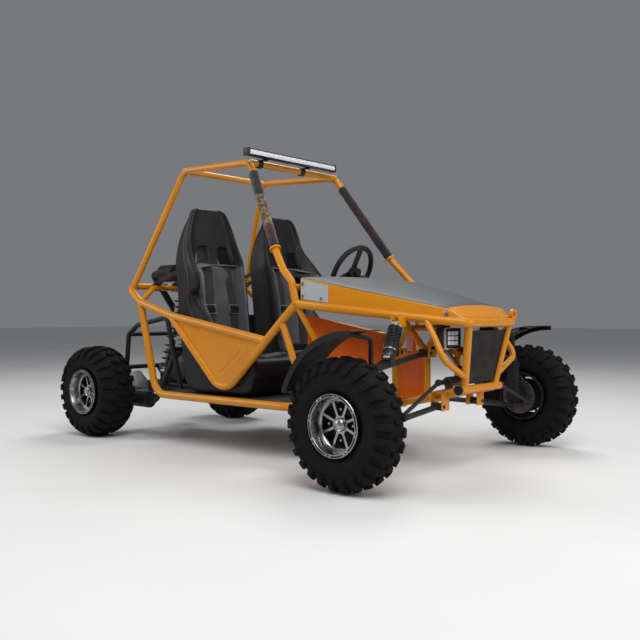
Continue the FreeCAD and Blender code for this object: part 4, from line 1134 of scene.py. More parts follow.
# Places (x, z) of the strap from its hole to the tube behind the seat and round it
strap_behind = (
    (-0.292, 0.8790), (-0.34, 0.8800), (-0.45, 0.858), (-0.60, 0.812), (-0.652, 0.789), (-0.674, 0.772),
    (-0.656, 0.754),
)
first_backrest_row = 19
adjuster_z = 0.655
adjuster_proud = 0.024
adjuster_height = 0.042
adjuster_side = 0.030
adjuster_reach = 0.033
adjuster_wire = 0.0032
adjuster_bar_reach = 0.027
adjuster_bar_radius = 0.0042
adjuster_bar_proud = 0.002
# Places of the lap belt: x, how far to the seat's outer side, z
lap_belt_route = (
    (-0.235, 0.130, 0.40), (-0.205, 0.126, 0.475), (-0.150, 0.095, 0.485), (-0.118, 0.045, 0.468),
    (-0.110, 0.0, 0.463), (-0.118, -0.045, 0.460), (-0.150, -0.095, 0.462), (-0.205, -0.126, 0.45),
    (-0.235, -0.130, 0.39),
)
lap_belt_flat = (0.55, 0, 0.83)
buckle_place = (-0.100, 0.468)
buckle_size = (0.045, 0.075, 0.026)
buckle_round = 0.006


def seat_front_at(rings, z, offset_y):
    """Point and normal of the seat's front at this height of the backrest, offset from the middle."""
    for below, above in zip(rings[first_backrest_row:], rings[first_backrest_row + 1:]):
        if below[0].z <= z <= above[0].z:
            share = (z - below[0].z) / (above[0].z - below[0].z)
            point = below[0].lerp(above[0], share)
            run = (above[0] - below[0]).normalized()
            return point + Vector((0, offset_y, 0)), Vector((run.z, 0, -run.x))
    return None


def shoulder_strap(rings, hand, side):
    """Webbing from the tube behind the seat through its hole and down the backrest to the hip."""
    low = strap_heights[0]
    high = strap_heights[-1]
    points = []
    for z in strap_heights:
        share = min((high - z) / (high - strap_spread_z), 1.0)
        across = strap_top_offset + (strap_low_offset - strap_top_offset) * share
        bow = min(1.0, (z - low) / strap_bow_length)
        point, out = seat_front_at(rings, z, hand * across)
        points.append(point + out * (strap_lift + strap_bow * math.sin(math.pi * bow)))
    behind = side * seat_y + hand * strap_top_offset
    points += [Vector((x, behind, z)) for x, z in strap_behind]
    return ribbon("shoulder_strap", points, strap_width, strap_thickness, count=90)


def adjuster(rings, hand):
    """Sliding buckle on a shoulder strap: a pale frame with dark bars across it."""
    point, out = seat_front_at(rings, adjuster_z, hand * strap_low_offset)
    centre = point + out * adjuster_proud
    rise = Vector((-out.z, 0, out.x)) * (adjuster_height / 2)
    frame_parts = []
    bars = []
    for share in (-1, 1):
        side_bar = centre + Vector((0, share * adjuster_side, 0))
        frame_parts.append(pin("adjuster", side_bar, rise, adjuster_wire, 8))
    for share in (-1, 1):
        frame_parts.append(pin("adjuster", centre + rise * share, (0, adjuster_reach, 0), adjuster_wire, 8))
    for share in (-0.5, 0.0, 0.5):
        bar = centre + rise * share + out * adjuster_bar_proud
        bars.append(pin("adjuster_bar", bar, (0, adjuster_bar_reach, 0), adjuster_bar_radius, 8))
    return frame_parts, bars


def lap_belt(side):
    """Lap webbing over the cushion from both sides to the buckle in the middle."""
    points = [Vector((x, side * (seat_y + across), z)) for x, across, z in lap_belt_route]
    return ribbon("lap_belt", points, lap_width, strap_thickness, lap_belt_flat, 60)


class BUGGY_OT_seats(bpy.types.Operator):
    """Two bucket seats with belt holes, piping and grey fabric panels"""

    bl_idname = "buggy.seats"
    bl_label = "Seats"

    def execute(self, context):
        black = vinyl("seat_vinyl", (0.0085, 0.0085, 0.0095))
        grey = woven("seat_fabric", (0.085, 0.087, 0.097), (0.046, 0.048, 0.055))
        # Paler than the seat vinyl: a painted highlight on the crest welt and on the rolls round the belt
        # holes.
        welt_and_painted_highlight = vinyl("seat_piping", (0.045, 0.045, 0.047))
        webbing = woven("belt_webbing", (0.020, 0.020, 0.022), (0.009, 0.009, 0.010), 1400.0)
        pale = machined("buckle_steel", (0.40, 0.40, 0.40), 0.35)
        dark = moulded("buckle_plastic", (0.012, 0.012, 0.012))
        straps = []
        frames = []
        bars = []
        for side, word in SIDE_WORDS:
            node = "seat_" + word
            middle = side * seat_y
            rings = seat_rings(side)
            shell = smooth(lofted(node + "_bucket", rings), 75)
            cut_by(shell, [belt_hole(middle, hand) for hand in (RIGHT, LEFT)])
            dressed(smooth(shell, 60), black, "chassis", (node,))
            panel = seat_fabric(node + "_panel", rings)
            dressed(panel, grey, "chassis")
            # The welt and the hole rolls take the paler finish as a painted highlight.
            rolls = [seat_piping("crest", rings)] + [hole_rim(middle, hand) for hand in (RIGHT, LEFT)]
            dressed(merged(node + "_piping", rolls), welt_and_painted_highlight, "chassis")
            for hand in (RIGHT, LEFT):
                straps.append(shoulder_strap(rings, hand, side))
                pair = adjuster(rings, hand)
                frames += pair[0]
                bars += pair[1]
            straps.append(lap_belt(side))
            buckle = Vector((buckle_place[0], middle, buckle_place[1]))
            bars.append(rounded_block("buckle", buckle, buckle_size, buckle_round))
        dressed(merged("belt_webbing", straps), webbing, "chassis", ("harnesses",))
        dressed_group("belt_adjusters", frames, pale, "chassis")
        dressed_group("belt_bars", bars, dark, "chassis")
        return {"FINISHED"}


# Wheels

rim_tuck = 0.005
rim_lip_radius = 0.114
rim_lip_inner = 0.1005
rim_seat_radius = 0.1077
rim_barrel_radius = 0.095
rim_wall = 0.004
lip_flat = 0.006
lip_slope = 0.011
lip_round = 0.0015
lip_break = 0.001
lip_taper = 0.0035
drop_outer_share = 0.5
drop_front_share = 0.35
drop_back_share = 0.4
slot_depth = 0.0035
slot_outer = 0.1104
slot_inner = 0.1044
slot_chamfer = 0.0004
# Bottom of the lip's slots: depth below the lip, radius
slot_floor = ((0.0032, 0.1050), (0.0026, 0.1101), (0.0036, 0.1103), (0.0036, 0.1047))
disc_inset = 0.046
disc_thickness = 0.008
disc_bore = 0.010
disc_step = 0.004
disc_shoulder = 0.003
disc_weld = 0.001
cap_radius = 0.026
# Cap over the hub: height above the spoke disc, radius
cap_profile = (
    (-0.002, 0.004), (-0.002, cap_radius), (0.010, cap_radius - 0.001), (0.014, cap_radius - 0.005),
    (0.0125, cap_radius - 0.009), (0.016, 0.012), (0.017, 0.004),
)
plug_height = 0.0165
plug_sink = 0.004
plug_proud = 0.001
plug_radius = 0.006
window_inner = 0.031
window_outer = 0.084
window_inner_half = 0.0082
window_outer_half = 0.0288
window_cut = 0.04
window_corner = 0.0068
window_count = 8
window_inner_margin = 0.003
window_outer_margin = 0.001
window_face_margin = 0.0005
bridge_radius = 0.1076
bridge_sink = 0.0022
bridge_offset = 0.009
bridge_size = (0.009, 0.0040, 0.0062)
bridge_turn = math.radians(10)
lip_bolt_foot = 0.0016
lip_bolt_height = 0.0038
lip_bolt_radius = 0.0036
fine_edge = 0.0008
drum_gap = 0.012
# Brake drum behind the spoke disc: depth below its face, radius
drum_profile = ((0.030, 0.014), (0.030, 0.080), (0.004, 0.080), (0.0, 0.074), (0.0, 0.014))
nut_ring_radius = 0.055
nut_count = 4
nut_height = 0.013
nut_radius = 0.0085
nut_edge = 0.0014
stud_height = 0.017
stud_radius = 0.0042
sleeve_radius = 0.032
front_sleeve_reach = 0.118
rear_sleeve_reach = 0.060
rear_sleeve_proud = 0.03
# Front brake disc: how far inside the hub, radius
brake_profile = ((0.098, 0.034), (0.098, 0.082), (0.093, 0.082), (0.093, 0.034))
brake_edge = 0.0006


def wheel_window(hub, outward_y, hand):
    """Cutter for one window of the spoke disc, at the top of the wheel."""
    corners = (
        (-window_inner_half, window_inner), (window_inner_half, window_inner),
        (window_outer_half, window_outer), (-window_outer_half, window_outer),
    )
    outline = [hub + Vector((x, outward_y - hand * window_cut / 2, z)) for x, z in corners]
    window = slab("window", outline, (0, hand * window_cut, 0))
    return long_edges_rounded(window, 1, window_cut * 0.75, window_corner)


def turned_part(name, hub, hand, rows, steps=64):
    """Closed shape turned about the axle from rows of (outward, radius)."""
    profile = [hub + Vector((0, hand * outward_y, radius)) for outward_y, radius in rows]
    return smooth(spun(name, profile + [profile[0]], hub, AXLE, steps), 35)


def rim_barrel(hub, hand, half):
    """The rim with its bead seats, its drop centre and its slotted lip."""
    drop_radius = rim_barrel_radius + rim_wall
    inner_radius = rim_seat_radius - rim_wall
    rows = [
        (-half, rim_lip_radius), (-half + lip_flat, rim_lip_radius), (-half + lip_slope, rim_seat_radius),
        (-half * drop_outer_share, rim_seat_radius), (-half * drop_back_share, drop_radius),
        (half * drop_front_share, drop_radius), (half * drop_outer_share, rim_seat_radius),
        (half - lip_slope, rim_seat_radius), (half - lip_flat, rim_lip_radius),
        (half - lip_round, rim_lip_radius), (half, rim_lip_radius - lip_round),
        (half, slot_outer + slot_chamfer), (half - slot_depth, slot_outer), (half - slot_depth, slot_inner),
        (half, slot_inner - slot_chamfer), (half, rim_lip_inner + lip_break),
        (half - lip_round, rim_lip_inner), (half * drop_outer_share, rim_lip_inner - lip_taper),
        (half * drop_front_share, rim_barrel_radius), (-half * drop_back_share, rim_barrel_radius),
        (-half * drop_outer_share, inner_radius), (-half, inner_radius),
    ]
    return turned_part("barrel", hub, hand, rows, 96)


def spoke_disc(hub, hand, face):
    """The dished disc with its eight windows."""
    back = face - disc_thickness
    edge = face + disc_step
    edge_radius = rim_barrel_radius + disc_weld
    rows = [
        (face, disc_bore), (face, window_outer + disc_step), (edge, rim_barrel_radius - disc_shoulder),
        (edge, edge_radius), (back, edge_radius), (back, disc_bore),
    ]
    disc = turned_part("spokes", hub, hand, rows, 96)
    first = wheel_window(hub, hand * (face - disc_thickness / 2), hand)
    disc = cut_by(disc, ring_of(first, window_count, hub))
    return smooth(bevelled(disc, fine_edge, 1, 50), 40)


def lip_bridge(hub, hand, half):
    """Two bolted bridges side by side over the slotted lip."""
    bridges = []
    lip = hub + Vector((0, hand * (half - bridge_sink), bridge_radius))
    for offset in (-bridge_offset, bridge_offset):
        base = lip + Vector((offset, 0, 0))
        bridges.append(rounded_block("bridge", base, bridge_size, fine_edge, 1))
        head = base + Vector((0, hand * lip_bolt_foot, 0))
        bridges.append(stub("bolt", head, (0, hand * lip_bolt_height, 0), lip_bolt_radius, 6))
    bridge = merged("bridge", bridges)
    bridge.data.transform(turned(bridge_turn, AXLE, hub))
    return bridge


def wheel_parts(hub, hand, half):
    """Bright and dark parts of one rim; hand is the side that faces out, half is half its width."""
    face = half - disc_inset
    bright = [rim_barrel(hub, hand, half), spoke_disc(hub, hand, face)]
    bright.append(turned_part("cap", hub, hand, [(face + rise, radius) for rise, radius in cap_profile], 48))
    plug = hub + Vector((0, hand * (face + plug_height), 0))
    plug_start = plug - Vector((0, hand * plug_sink, 0))
    plug_end = plug + Vector((0, hand * plug_proud, 0))
    bright.append(round_bar("cap_plug", plug_start, plug_end, plug_radius, 6))
    bright += ring_of(lip_bridge(hub, hand, half), window_count, hub)
    slots = turned_part("slots", hub, hand, [(half - depth, radius) for depth, radius in slot_floor], 96)
    drum_face = face - disc_thickness - drum_gap
    drum_rows = [(drum_face - depth, radius) for depth, radius in drum_profile]
    drum = turned_part("drum", hub, hand, drum_rows, 48)
    nut_foot = hub + Vector((0, hand * drum_face, nut_ring_radius))
    nut = bevelled(stub("nut", nut_foot, (0, hand * nut_height, 0), nut_radius, 6), nut_edge, 2)
    stud = stub("stud", nut_foot, (0, hand * stud_height, 0), stud_radius, 10)
    nuts = ring_of(merged("nut", [nut, stud]), nut_count, hub)
    return bright + nuts, [slots, drum]


def painted_shade_inside(rim, dark):
    """Painted shade: the rims' inner halves behind the spoke discs, and the walls of the windows, take the
    dark finish.
    """
    rim.data.materials.append(dark)
    for face in rim.data.polygons:
        in_front = face.center.x > 0
        hub = front_hub[LEFT] if in_front else rear_hub[LEFT]
        width = front_tyre_width if in_front else rear_tyre_width
        disc_face = hub.y + width / 2 - rim_tuck - disc_inset
        away = math.hypot(face.center.x - hub.x, face.center.z - hub.z)
        behind = abs(face.center.y) < disc_face - disc_thickness / 2
        in_window = window_inner - window_inner_margin < away < window_outer + window_outer_margin
        on_wall = in_window and abs(face.normal.y) < 0.3
        # Faces behind the disc and on the window walls: painted shade inside the wheel.
        if behind or (on_wall and abs(face.center.y) < disc_face + window_face_margin):
            face.material_index = 1


class BUGGY_OT_wheels(bpy.types.Operator):
    """Turned rims with a slotted lip, eight windows, a cap and lug nuts"""

    bl_idname = "buggy.wheels"
    bl_label = "Wheels"

    def execute(self, context):
        bright = machined("rim_metal", (0.40, 0.39, 0.385), 0.24)
        # Dark finish: black on the drums, sleeves and slot floors, and painted shade on the rims' inner
        # faces and window walls.
        dark = coated("rim_black_and_painted_shade", (0.010, 0.010, 0.011), 0.5)
        # Brake disc steel, darkened as painted shade inside the wheel.
        disc_steel_with_painted_shade = machined("brake_steel_with_painted_shade", (0.14, 0.135, 0.13), 0.45)
        for side, word in SIDE_WORDS:
            node = "front_wheel_" + word
            hub = front_hub[side]
            light, shade = wheel_parts(hub, side, front_tyre_width / 2 - rim_tuck)
            inner = hub - Vector((0, side * front_sleeve_reach, 0))
            shade.append(round_bar("sleeve", inner, hub, sleeve_radius, 32))
            rim = dressed_group(node + "_rim", light, bright, node, (node,))
            painted_shade_inside(rim, dark)
            dressed_group(node + "_drum", shade, dark, node)
            disc = turned_part(node + "_disc", hub, -side, brake_profile)
            dressed(bevelled(disc, brake_edge, 1), disc_steel_with_painted_shade, node)
        light = []
        shade = []
        for side in (RIGHT, LEFT):
            hub = rear_hub[side]
            parts = wheel_parts(hub, side, rear_tyre_width / 2 - rim_tuck)
            light += parts[0]
            shade += parts[1]
            inner = hub - Vector((0, side * rear_sleeve_reach, 0))
            outer = hub + Vector((0, side * rear_sleeve_proud, 0))
            shade.append(round_bar("sleeve", inner, outer, sleeve_radius, 32))
        rims = dressed_group("rear_rims", light, bright, "rear_axle", ("rear_wheels",))
        painted_shade_inside(rims, dark)
        dressed_group("rear_drums", shade, dark, "rear_axle")
        return {"FINISHED"}


# Nose and doors

nose_bar_x = 1.060
nose_bar_z = 0.334
nose_bar_half = 0.169
nose_bar_radius = 0.016
nose_collar_start = 0.160
nose_collar_end = 0.172
nose_collar_radius = 0.0185
# Wishbone pivots: x, y, z, how much higher the bracket's ears reach up to the rail
wishbone_pivots = (
    (0.955, 0.152, 0.262, 0.040), (0.745, 0.152, 0.262, 0.004), (0.892, 0.152, 0.475, 0.0),
    (0.748, 0.152, 0.475, 0.0),
)
ear_offset = 0.0255
ear_inset = 0.014
ear_thickness = 0.005
ear_width = 0.056
ear_height = 0.034
ear_edge = 0.002
pivot_bolt_half = 0.031
pivot_bolt_radius = 0.0075
door_corners = (Vector((-0.326, 0, 0.594)), Vector((-0.036, 0, 0.322)), Vector((0.214, 0, 0.508)))
# Pressings of a door, each inside the last: share towards the middle, height, bend
door_steps = ((0.055, 0.0012, 0.045), (0.27, 0.0030, 0.030))
door_sink = 0.0005
door_y = 0.4335
door_middle_x = -0.018
door_middle_z = 0.268
door_lean_x_share = 0.0119
door_lean_z_share = 0.0344
door_taper = (0.982, 1, 0.982)


def door_skin_y(x, z):
    """How far out the door panel lies, which leans with x and z."""
    return door_y + door_lean_x_share * (x - door_middle_x) + door_lean_z_share * (z - door_middle_z)


def door_pressings(side):
    """The two raised fields of one door, the smaller on the larger."""
    middle = sum(door_corners, Vector()) / 3
    fields = []
    for inset, height, bend in door_steps:
        loop = []
        for corner in door_corners:
            point = corner.lerp(middle, inset)
            loop.append(Vector((point.x, side * door_skin_y(point.x, point.z), point.z)))
        start = loop[0].lerp(loop[1], 0.5)
        outline = rounded([start, loop[1], loop[2], loop[0], start], bend)
        field = slab("door_field", outline[:-1], (0, side * (height + door_sink), 0))
        bpy.ops.transform.resize(value=door_taper)
        done()
        fields.append(outward(field))
    return fields


class BUGGY_OT_nose(bpy.types.Operator):
    """Cross bar under the nose, wishbone brackets, collars and the raised fields of the doors"""

    bl_idname = "buggy.nose"
    bl_label = "Nose and doors"

    def execute(self, context):
        body = tuple(context.scene.buggy_colours.body)
        yellow = paint("nose_paint", body, scaled(body, 0.85))
        black = coated("collar_black", (0.014, 0.014, 0.015), 0.4)
        bar_middle = Vector((nose_bar_x, 0, nose_bar_z))
        bars = [pin("nose_bar", bar_middle, (0, nose_bar_half, 0), nose_bar_radius, 32)]
        collars = []
        for side in (RIGHT, LEFT):
            start = Vector((nose_bar_x, side * nose_collar_start, nose_bar_z))
            end = Vector((nose_bar_x, side * nose_collar_end, nose_bar_z))
            collars.append(round_bar("bar_end", start, end, nose_collar_radius, 32))
            for x, y, z, rise in wishbone_pivots:
                for step in (-1, 1):
                    plate = Vector((x + step * ear_offset, side * (y - ear_inset), z + rise / 2))
                    size = (ear_thickness, ear_width, ear_height + rise)
                    bars.append(rounded_block("ear", plate, size, ear_edge))
                pivot = Vector((x, side * y, z))
                collars.append(pin("pivot_bolt", pivot, (pivot_bolt_half, 0, 0), pivot_bolt_radius, 6))
        dressed_group("nose_bar", bars, yellow, "chassis")
        dressed_group("nose_collars", collars, black, "chassis")
        fields = door_pressings(RIGHT) + door_pressings(LEFT)
        dressed_group("door_pressings", fields, yellow, "chassis", angle=20)
        return {"FINISHED"}


# Hood

hood_stations = (
    # x, half width on the rail, base height, ridge height
    (0.4715, 0.4450, 0.6935, 0.7880),
    (0.5500, 0.4000, 0.6825, 0.7705),
    (0.6500, 0.3652, 0.6710, 0.7480),
    (0.7500, 0.3305, 0.6597, 0.7257),
    (0.8380, 0.3000, 0.6495, 0.7062),
    (0.9600, 0.2490, 0.6355, 0.6791),
    (1.0440, 0.2145, 0.6263, 0.6602),
    (1.0980, 0.1920, 0.6203, 0.6250),
)
hood_wall = 0.0025
# Fold of the hood's upper edge: how far in from the side, how far below the ridge
hood_fold = ((0.0, 0.010), (0.0012, 0.0045), (0.0045, 0.0012), (0.011, 0.0))
# Crown of the hood's top: share of the half width, height above the ridge
hood_crown = ((0.80, 0.0050), (0.50, 0.0095), (0.25, 0.0117))
hood_crown_height = 0.0122
hood_lip_reach = 0.002
hood_lip_drop = 0.004
hood_lip_share = 0.99
# Outline of a side plate: x, y, z
side_plate_corners = (
    (0.474, 0.4440, 0.6975), (0.474, 0.4440, 0.7770), (0.550, 0.4003, 0.7590), (0.576, 0.3912, 0.7530),
    (0.576, 0.3912, 0.6815), (0.550, 0.4003, 0.6845),
)
side_plate_gap = 0.0012
side_plate_wall = 0.0022
plate_edge = 0.0006
plate_screws = ((0.482, 0.4420, 0.762), (0.482, 0.4420, 0.712), (0.548, 0.4020, 0.700))
plate_normal = (0.5, 0.87)
screw_height = 0.0095
screw_radius = 0.0055
latch_place = (1.036, 0.2190, 0.638)
latch_size = (0.018, 0.007, 0.020)
latch_edge = 0.002
latch_pin_height = 0.011
latch_pin_radius = 0.0045


def hood_ring(x, half, base, ridge):
    """Points over the hood at one X, from the right rail over the crown to the left rail."""
    half_row = [(half, base)]
    half_row += [(half - inward, ridge - drop) for inward, drop in hood_fold]
    half_row += [(half * share, ridge + rise) for share, rise in hood_crown]
    right = [Vector((x, -y, z)) for y, z in half_row]
    left = [Vector((x, y, z)) for y, z in reversed(half_row)]
    return right + [Vector((x, 0, ridge + hood_crown_height))] + left


def hood_shell():
    """Sheet hood with upright sides, a low crown and a sloping front, as one open shell."""
    rings = [hood_ring(*station) for station in hood_stations]
    x, _, base, ridge = hood_stations[-1]
    rings[-1] = [Vector((point.x, point.y, max(min(point.z, ridge), base))) for point in rings[-1]]
    foot_x = x + hood_lip_reach
    foot = [Vector((foot_x, point.y * hood_lip_share, base - hood_lip_drop)) for point in rings[-1]]
    shell = lofted("hood_cover", rings + [foot], closed=False)
    thick(shell, hood_wall, -1.0)
    return smooth(shell, 30)


class BUGGY_OT_hood(bpy.types.Operator):
    """Two-tone sheet hood with its side plates, screws and latches"""

    bl_idname = "buggy.hood"
    bl_label = "Hood"

    def execute(self, context):
        colours = context.scene.buggy_colours
        body = tuple(colours.body)
        yellow = paint("hood_paint", body, scaled(body, 0.88))
        silver = satin("hood_silver", tuple(colours.silver))
        plate_silver = satin("side_plate", (0.42, 0.45, 0.47))
        screw_steel = machined("screw_steel", (0.36, 0.35, 0.34), 0.35)
        cover = hood_shell()
        dressed(cover, yellow, "chassis", ("hood",))
        cover.data.materials.append(silver)
        for face in cover.data.polygons:
            on_top = face.normal.z > 0.55 and face.center.x < hood_stations[-2][0]
            face.material_index = 1 if on_top else 0
        plates = []
        screws = []
        for side in (RIGHT, LEFT):
            outline = [(x, side * (y + side_plate_gap), z) for x, y, z in side_plate_corners]
            plate = drawn("side_plate", outline, closed=True)
            plates.append(bevelled(thick(plate, side_plate_wall, 0.0), plate_edge, 1))
            reach = Vector((plate_normal[0], side * plate_normal[1], 0)) * screw_height
            for x, y, z in plate_screws:
                screws.append(stub("screw", Vector((x, side * y, z)), reach, screw_radius, 6))
            latch = Vector((latch_place[0], side * latch_place[1], latch_place[2]))
            screws.append(rounded_block("latch", latch, latch_size, latch_edge))
            screws.append(stub("latch_pin", latch, (0, side * latch_pin_height, 0), latch_pin_radius, 12))
        dressed_group("hood_side_plates", plates, plate_silver, "chassis")
        dressed_group("hood_screws", screws, screw_steel, "chassis")
        return {"FINISHED"}


# Lamps

bar_centre = Vector((0.0805, -0.074, 1.370))
bar_length = 0.608
bar_height = 0.031
bar_depth = 0.040
bar_play = 0.004
bar_edge = 0.003
bar_frame = 0.0035
bar_sink = 0.004
fin_size = (0.010, 0.0022, bar_height * 0.9)
fin_edge = 0.0006
fin_margin = 0.020
fin_pitch = 0.0122
fin_count = 48
cap_width = 0.007
cap_overlap = 0.002
cap_setback = 0.001
cap_proud = 0.004
cap_edge = 0.0015
collar_offset = 0.146
collar_shift = -0.028
collar_x = 0.0285
collar_z = 1.336
collar_half = 0.013
collar_radius = 0.0205
# Bracket of the bar: x, z and size of its foot and its upright
bracket_plates = ((0.056, 1.3500, (0.044, 0.024, 0.006)), (0.0750, 1.3530, (0.006, 0.024, 0.012)))
thin_edge = 0.001
foot_bolt_x = 0.062
foot_bolt_low = 1.3510
foot_bolt_high = 1.3565
foot_bolt_radius = 0.006
diode_plate_inset = 0.0045
diode_plate_size = (0.004, bar_length - 0.016, bar_height - 0.010)
diode_pitch = 0.01212
diode_count = 49
diode_first_y = 0.291
diode_foot = 0.003
diode_tip = 0.0005
diode_radius = 0.0052
diode_tip_radius = 0.0040
lamp_place = (1.009, 0.160, 0.540)
lamp_size = (0.060, 0.080, 0.080)
lamp_round = 0.004
lamp_rim = 0.008
lamp_sink = 0.006
lamp_toe_out = math.radians(16)
lamp_rib_count = 5
lamp_rib_x = -0.033
lamp_rib_low = -0.030
lamp_rib_pitch = 0.015
lamp_rib_size = (0.008, 0.072, 0.003)
lamp_foot_place = (-0.012, 0.018, 0.055)
lamp_foot_size = (0.030, 0.050, 0.034)
lamp_foot_edge = 0.003
cell_x = 0.024
cell_pitch = 0.0195
cell_size = (0.007, 0.0165, 0.0165)
cell_round = 0.002
# Pale trims round a lamp: x, outward y and z from its middle, then size
bezel_trims = (
    ((0.024, 0.0405, 0), (0.014, 0.003, 0.080)),
    ((0.024, 0.020, 0.0405), (0.014, 0.040, 0.003)),
    ((0.020, 0.030, -0.0420), (0.020, 0.028, 0.004)),
)


def roof_bar():
    """Housing of the roof bar with its fins, end caps and brackets."""
    size = (bar_depth - bar_play, bar_length, bar_height)
    housing = rounded_block("bar", bar_centre, size, bar_edge)
    picked(housing, lambda face: face.normal.x > 0.9)
    bpy.ops.mesh.inset(thickness=bar_frame)
    pulled((-bar_sink, 0, 0))
    done()
    fin_place = bar_centre - Vector((bar_depth / 2, bar_length / 2 - fin_margin, 0))
    fin = rounded_block("fin", fin_place, fin_size, fin_edge, 1)
    parts = [housing] + row_of(fin, fin_count, fin_pitch)
    cap_size = (bar_depth, cap_width, bar_height + cap_proud)
    for hand in (RIGHT, LEFT):
        cap_place = bar_centre + Vector((-cap_setback, hand * (bar_length / 2 - cap_overlap), 0))
        parts.append(rounded_block("cap", cap_place, cap_size, cap_edge))
        y = bar_centre.y + collar_shift + hand * collar_offset
        ring = Vector((collar_x, y, collar_z))
        parts.append(smooth(pin("collar", ring, (0, collar_half, 0), collar_radius, 32)))
        for x, z, plate_size in bracket_plates:
            parts.append(rounded_block("foot", Vector((x, y, z)), plate_size, thin_edge))
        bolt_low = Vector((foot_bolt_x, y, foot_bolt_low))
        bolt_high = Vector((foot_bolt_x, y, foot_bolt_high))
        parts.append(round_bar("foot_bolt", bolt_low, bolt_high, foot_bolt_radius, 6))
    return parts


def bar_diodes():
    """Glass of the roof bar: a plate with a row of round diodes on it."""
    front_x = bar_centre.x + bar_depth / 2
    plate_place = Vector((front_x - diode_plate_inset, bar_centre.y, bar_centre.z))
    plate = rounded_block("diodes", plate_place, diode_plate_size, thin_edge, 1)
    first_y = bar_centre.y - diode_first_y
    foot = Vector((front_x - diode_foot, first_y, bar_centre.z))
    tip = Vector((front_x - diode_tip, first_y, bar_centre.z))
    diode = round_bar("diode", foot, tip, diode_radius, 12, diode_tip_radius)
    return [plate] + row_of(diode, diode_count, diode_pitch)


def square_lamp(side):
    """One square headlamp, toed out: its housing, its nine cells and its trims."""
    centre = Vector((lamp_place[0], side * lamp_place[1], lamp_place[2]))
    case = rounded_block("case", centre, lamp_size, lamp_round)
    picked(case, lambda face: face.normal.x > 0.9)
    bpy.ops.mesh.inset(thickness=lamp_rim)
    pulled((-lamp_sink, 0, 0))
    done()
    housing = [case]
    for index in range(lamp_rib_count):
        place = centre + Vector((lamp_rib_x, 0, lamp_rib_low + index * lamp_rib_pitch))
        housing.append(block("rib", place, lamp_rib_size))
    x, y, z = lamp_foot_place
    foot_place = centre + Vector((x, side * y, z))
    housing.append(rounded_block("lamp_foot", foot_place, lamp_foot_size, lamp_foot_edge))
    lenses = []
    for row in (-1, 0, 1):
        for column in (-1, 0, 1):
            place = centre + Vector((cell_x, column * cell_pitch, row * cell_pitch))
            lenses.append(rounded_block("cell", place, cell_size, cell_round))
    trims = []
    for (x, y, z), size in bezel_trims:
        trims.append(rounded_block("bezel", centre + Vector((x, side * y, z)), size, thin_edge))
    toe_out = turned(side * lamp_toe_out, (0, 0, 1), centre)
    for piece in housing + lenses + trims:
        piece.data.transform(toe_out)
    return housing, lenses, trims


class BUGGY_OT_lamps(bpy.types.Operator):
    """Roof lamp bar with its row of diodes and fins, and the two square headlamps"""

    bl_idname = "buggy.lamps"
    bl_label = "Lamps"

    def execute(self, context):
        body = coated("lamp_black", (0.014, 0.014, 0.015), 0.38)
        lens = finish("lamp_lens", (0.80, 0.80, 0.86), 0.12, coat=0.5)
        mottled(lens, 260.0, (0.88, 0.88, 0.93), (0.58, 0.58, 0.66), 0.40, 0.62)
        uneven(lens, 90.0, 0.08, 0.22)
        bezel_steel = machined("lamp_bezel", (0.52, 0.52, 0.53), 0.3)
        bars = roof_bar()
        lenses = bar_diodes()
        bezels = []
        for side in (RIGHT, LEFT):
            housing, cells_lit, trims = square_lamp(side)
            bars += housing
            lenses += cells_lit
            bezels += trims
        dressed_group("lamp_housings", bars, body, "chassis", ("light_bar", "headlamps"))
        dressed_group("lamp_faces", lenses, lens, "chassis")
        dressed_group("lamp_bezels", bezels, bezel_steel, "chassis")
        return {"FINISHED"}


# Pads round the pillars

pad_top = Vector((0.0285, 0.304, 1.336))
pad_low = Vector((0.301, 0.418, 0.912))
pad_start_share = 0.12
pad_end_share = 0.975
pad_radius = 0.0220
pad_stations = 60
pad_sides = 28
pad_wave_share = 0.035
pad_waves = (41, 17)
pad_end_radius_share = 0.78
pad_end_rise = 22
pad_seam_share = 0.09
pad_seam_angle = 4.1
pad_seam_width = 0.12
# Bands of the cloth from the top down: height where each starts, colour
near_bands = (
    (0.0, (0.022, 0.022, 0.027)), (1.176, (0.21, 0.150, 0.068)), (1.028, (0.090, 0.020, 0.016)),
    (0.970, (0.018, 0.022, 0.030)),
)
far_bands = ((0.0, (0.020, 0.020, 0.021)), (1.226, (0.050, 0.016, 0.020)), (1.020, (0.016, 0.017, 0.019)))
band_blur = 0.012
band_wobble = 0.018


def pad_cloth(name, bands):
    """Sleeve cloth: soft bands of colour along the pillar with a mottled pattern over them."""
    material = woven(name, (0.02, 0.02, 0.02), (0.012, 0.012, 0.012), 900.0)
    height = wired(material, "ShaderNodeSeparateXYZ", {"Vector": place_on(material)}).outputs["Z"]
    wobble = ranged(material, noise(material, 22.0), 0, 1, -band_wobble, band_wobble)
    height = combined(material, height, wobble, "ADD")
    colour = bands[0][1]
    for start, after in bands[1:]:
        share = ranged(material, height, start, start - band_blur)
        colour = blended(material, share, colour, after)
    blot = ranged(material, noise(material, 64.0, 6), 0.45, 0.53)
    dark = blended(material, 0.78, colour, (0.012, 0.012, 0.013))
    to_shader(material, "Base Color", blended(material, blot, colour, dark))
    return material


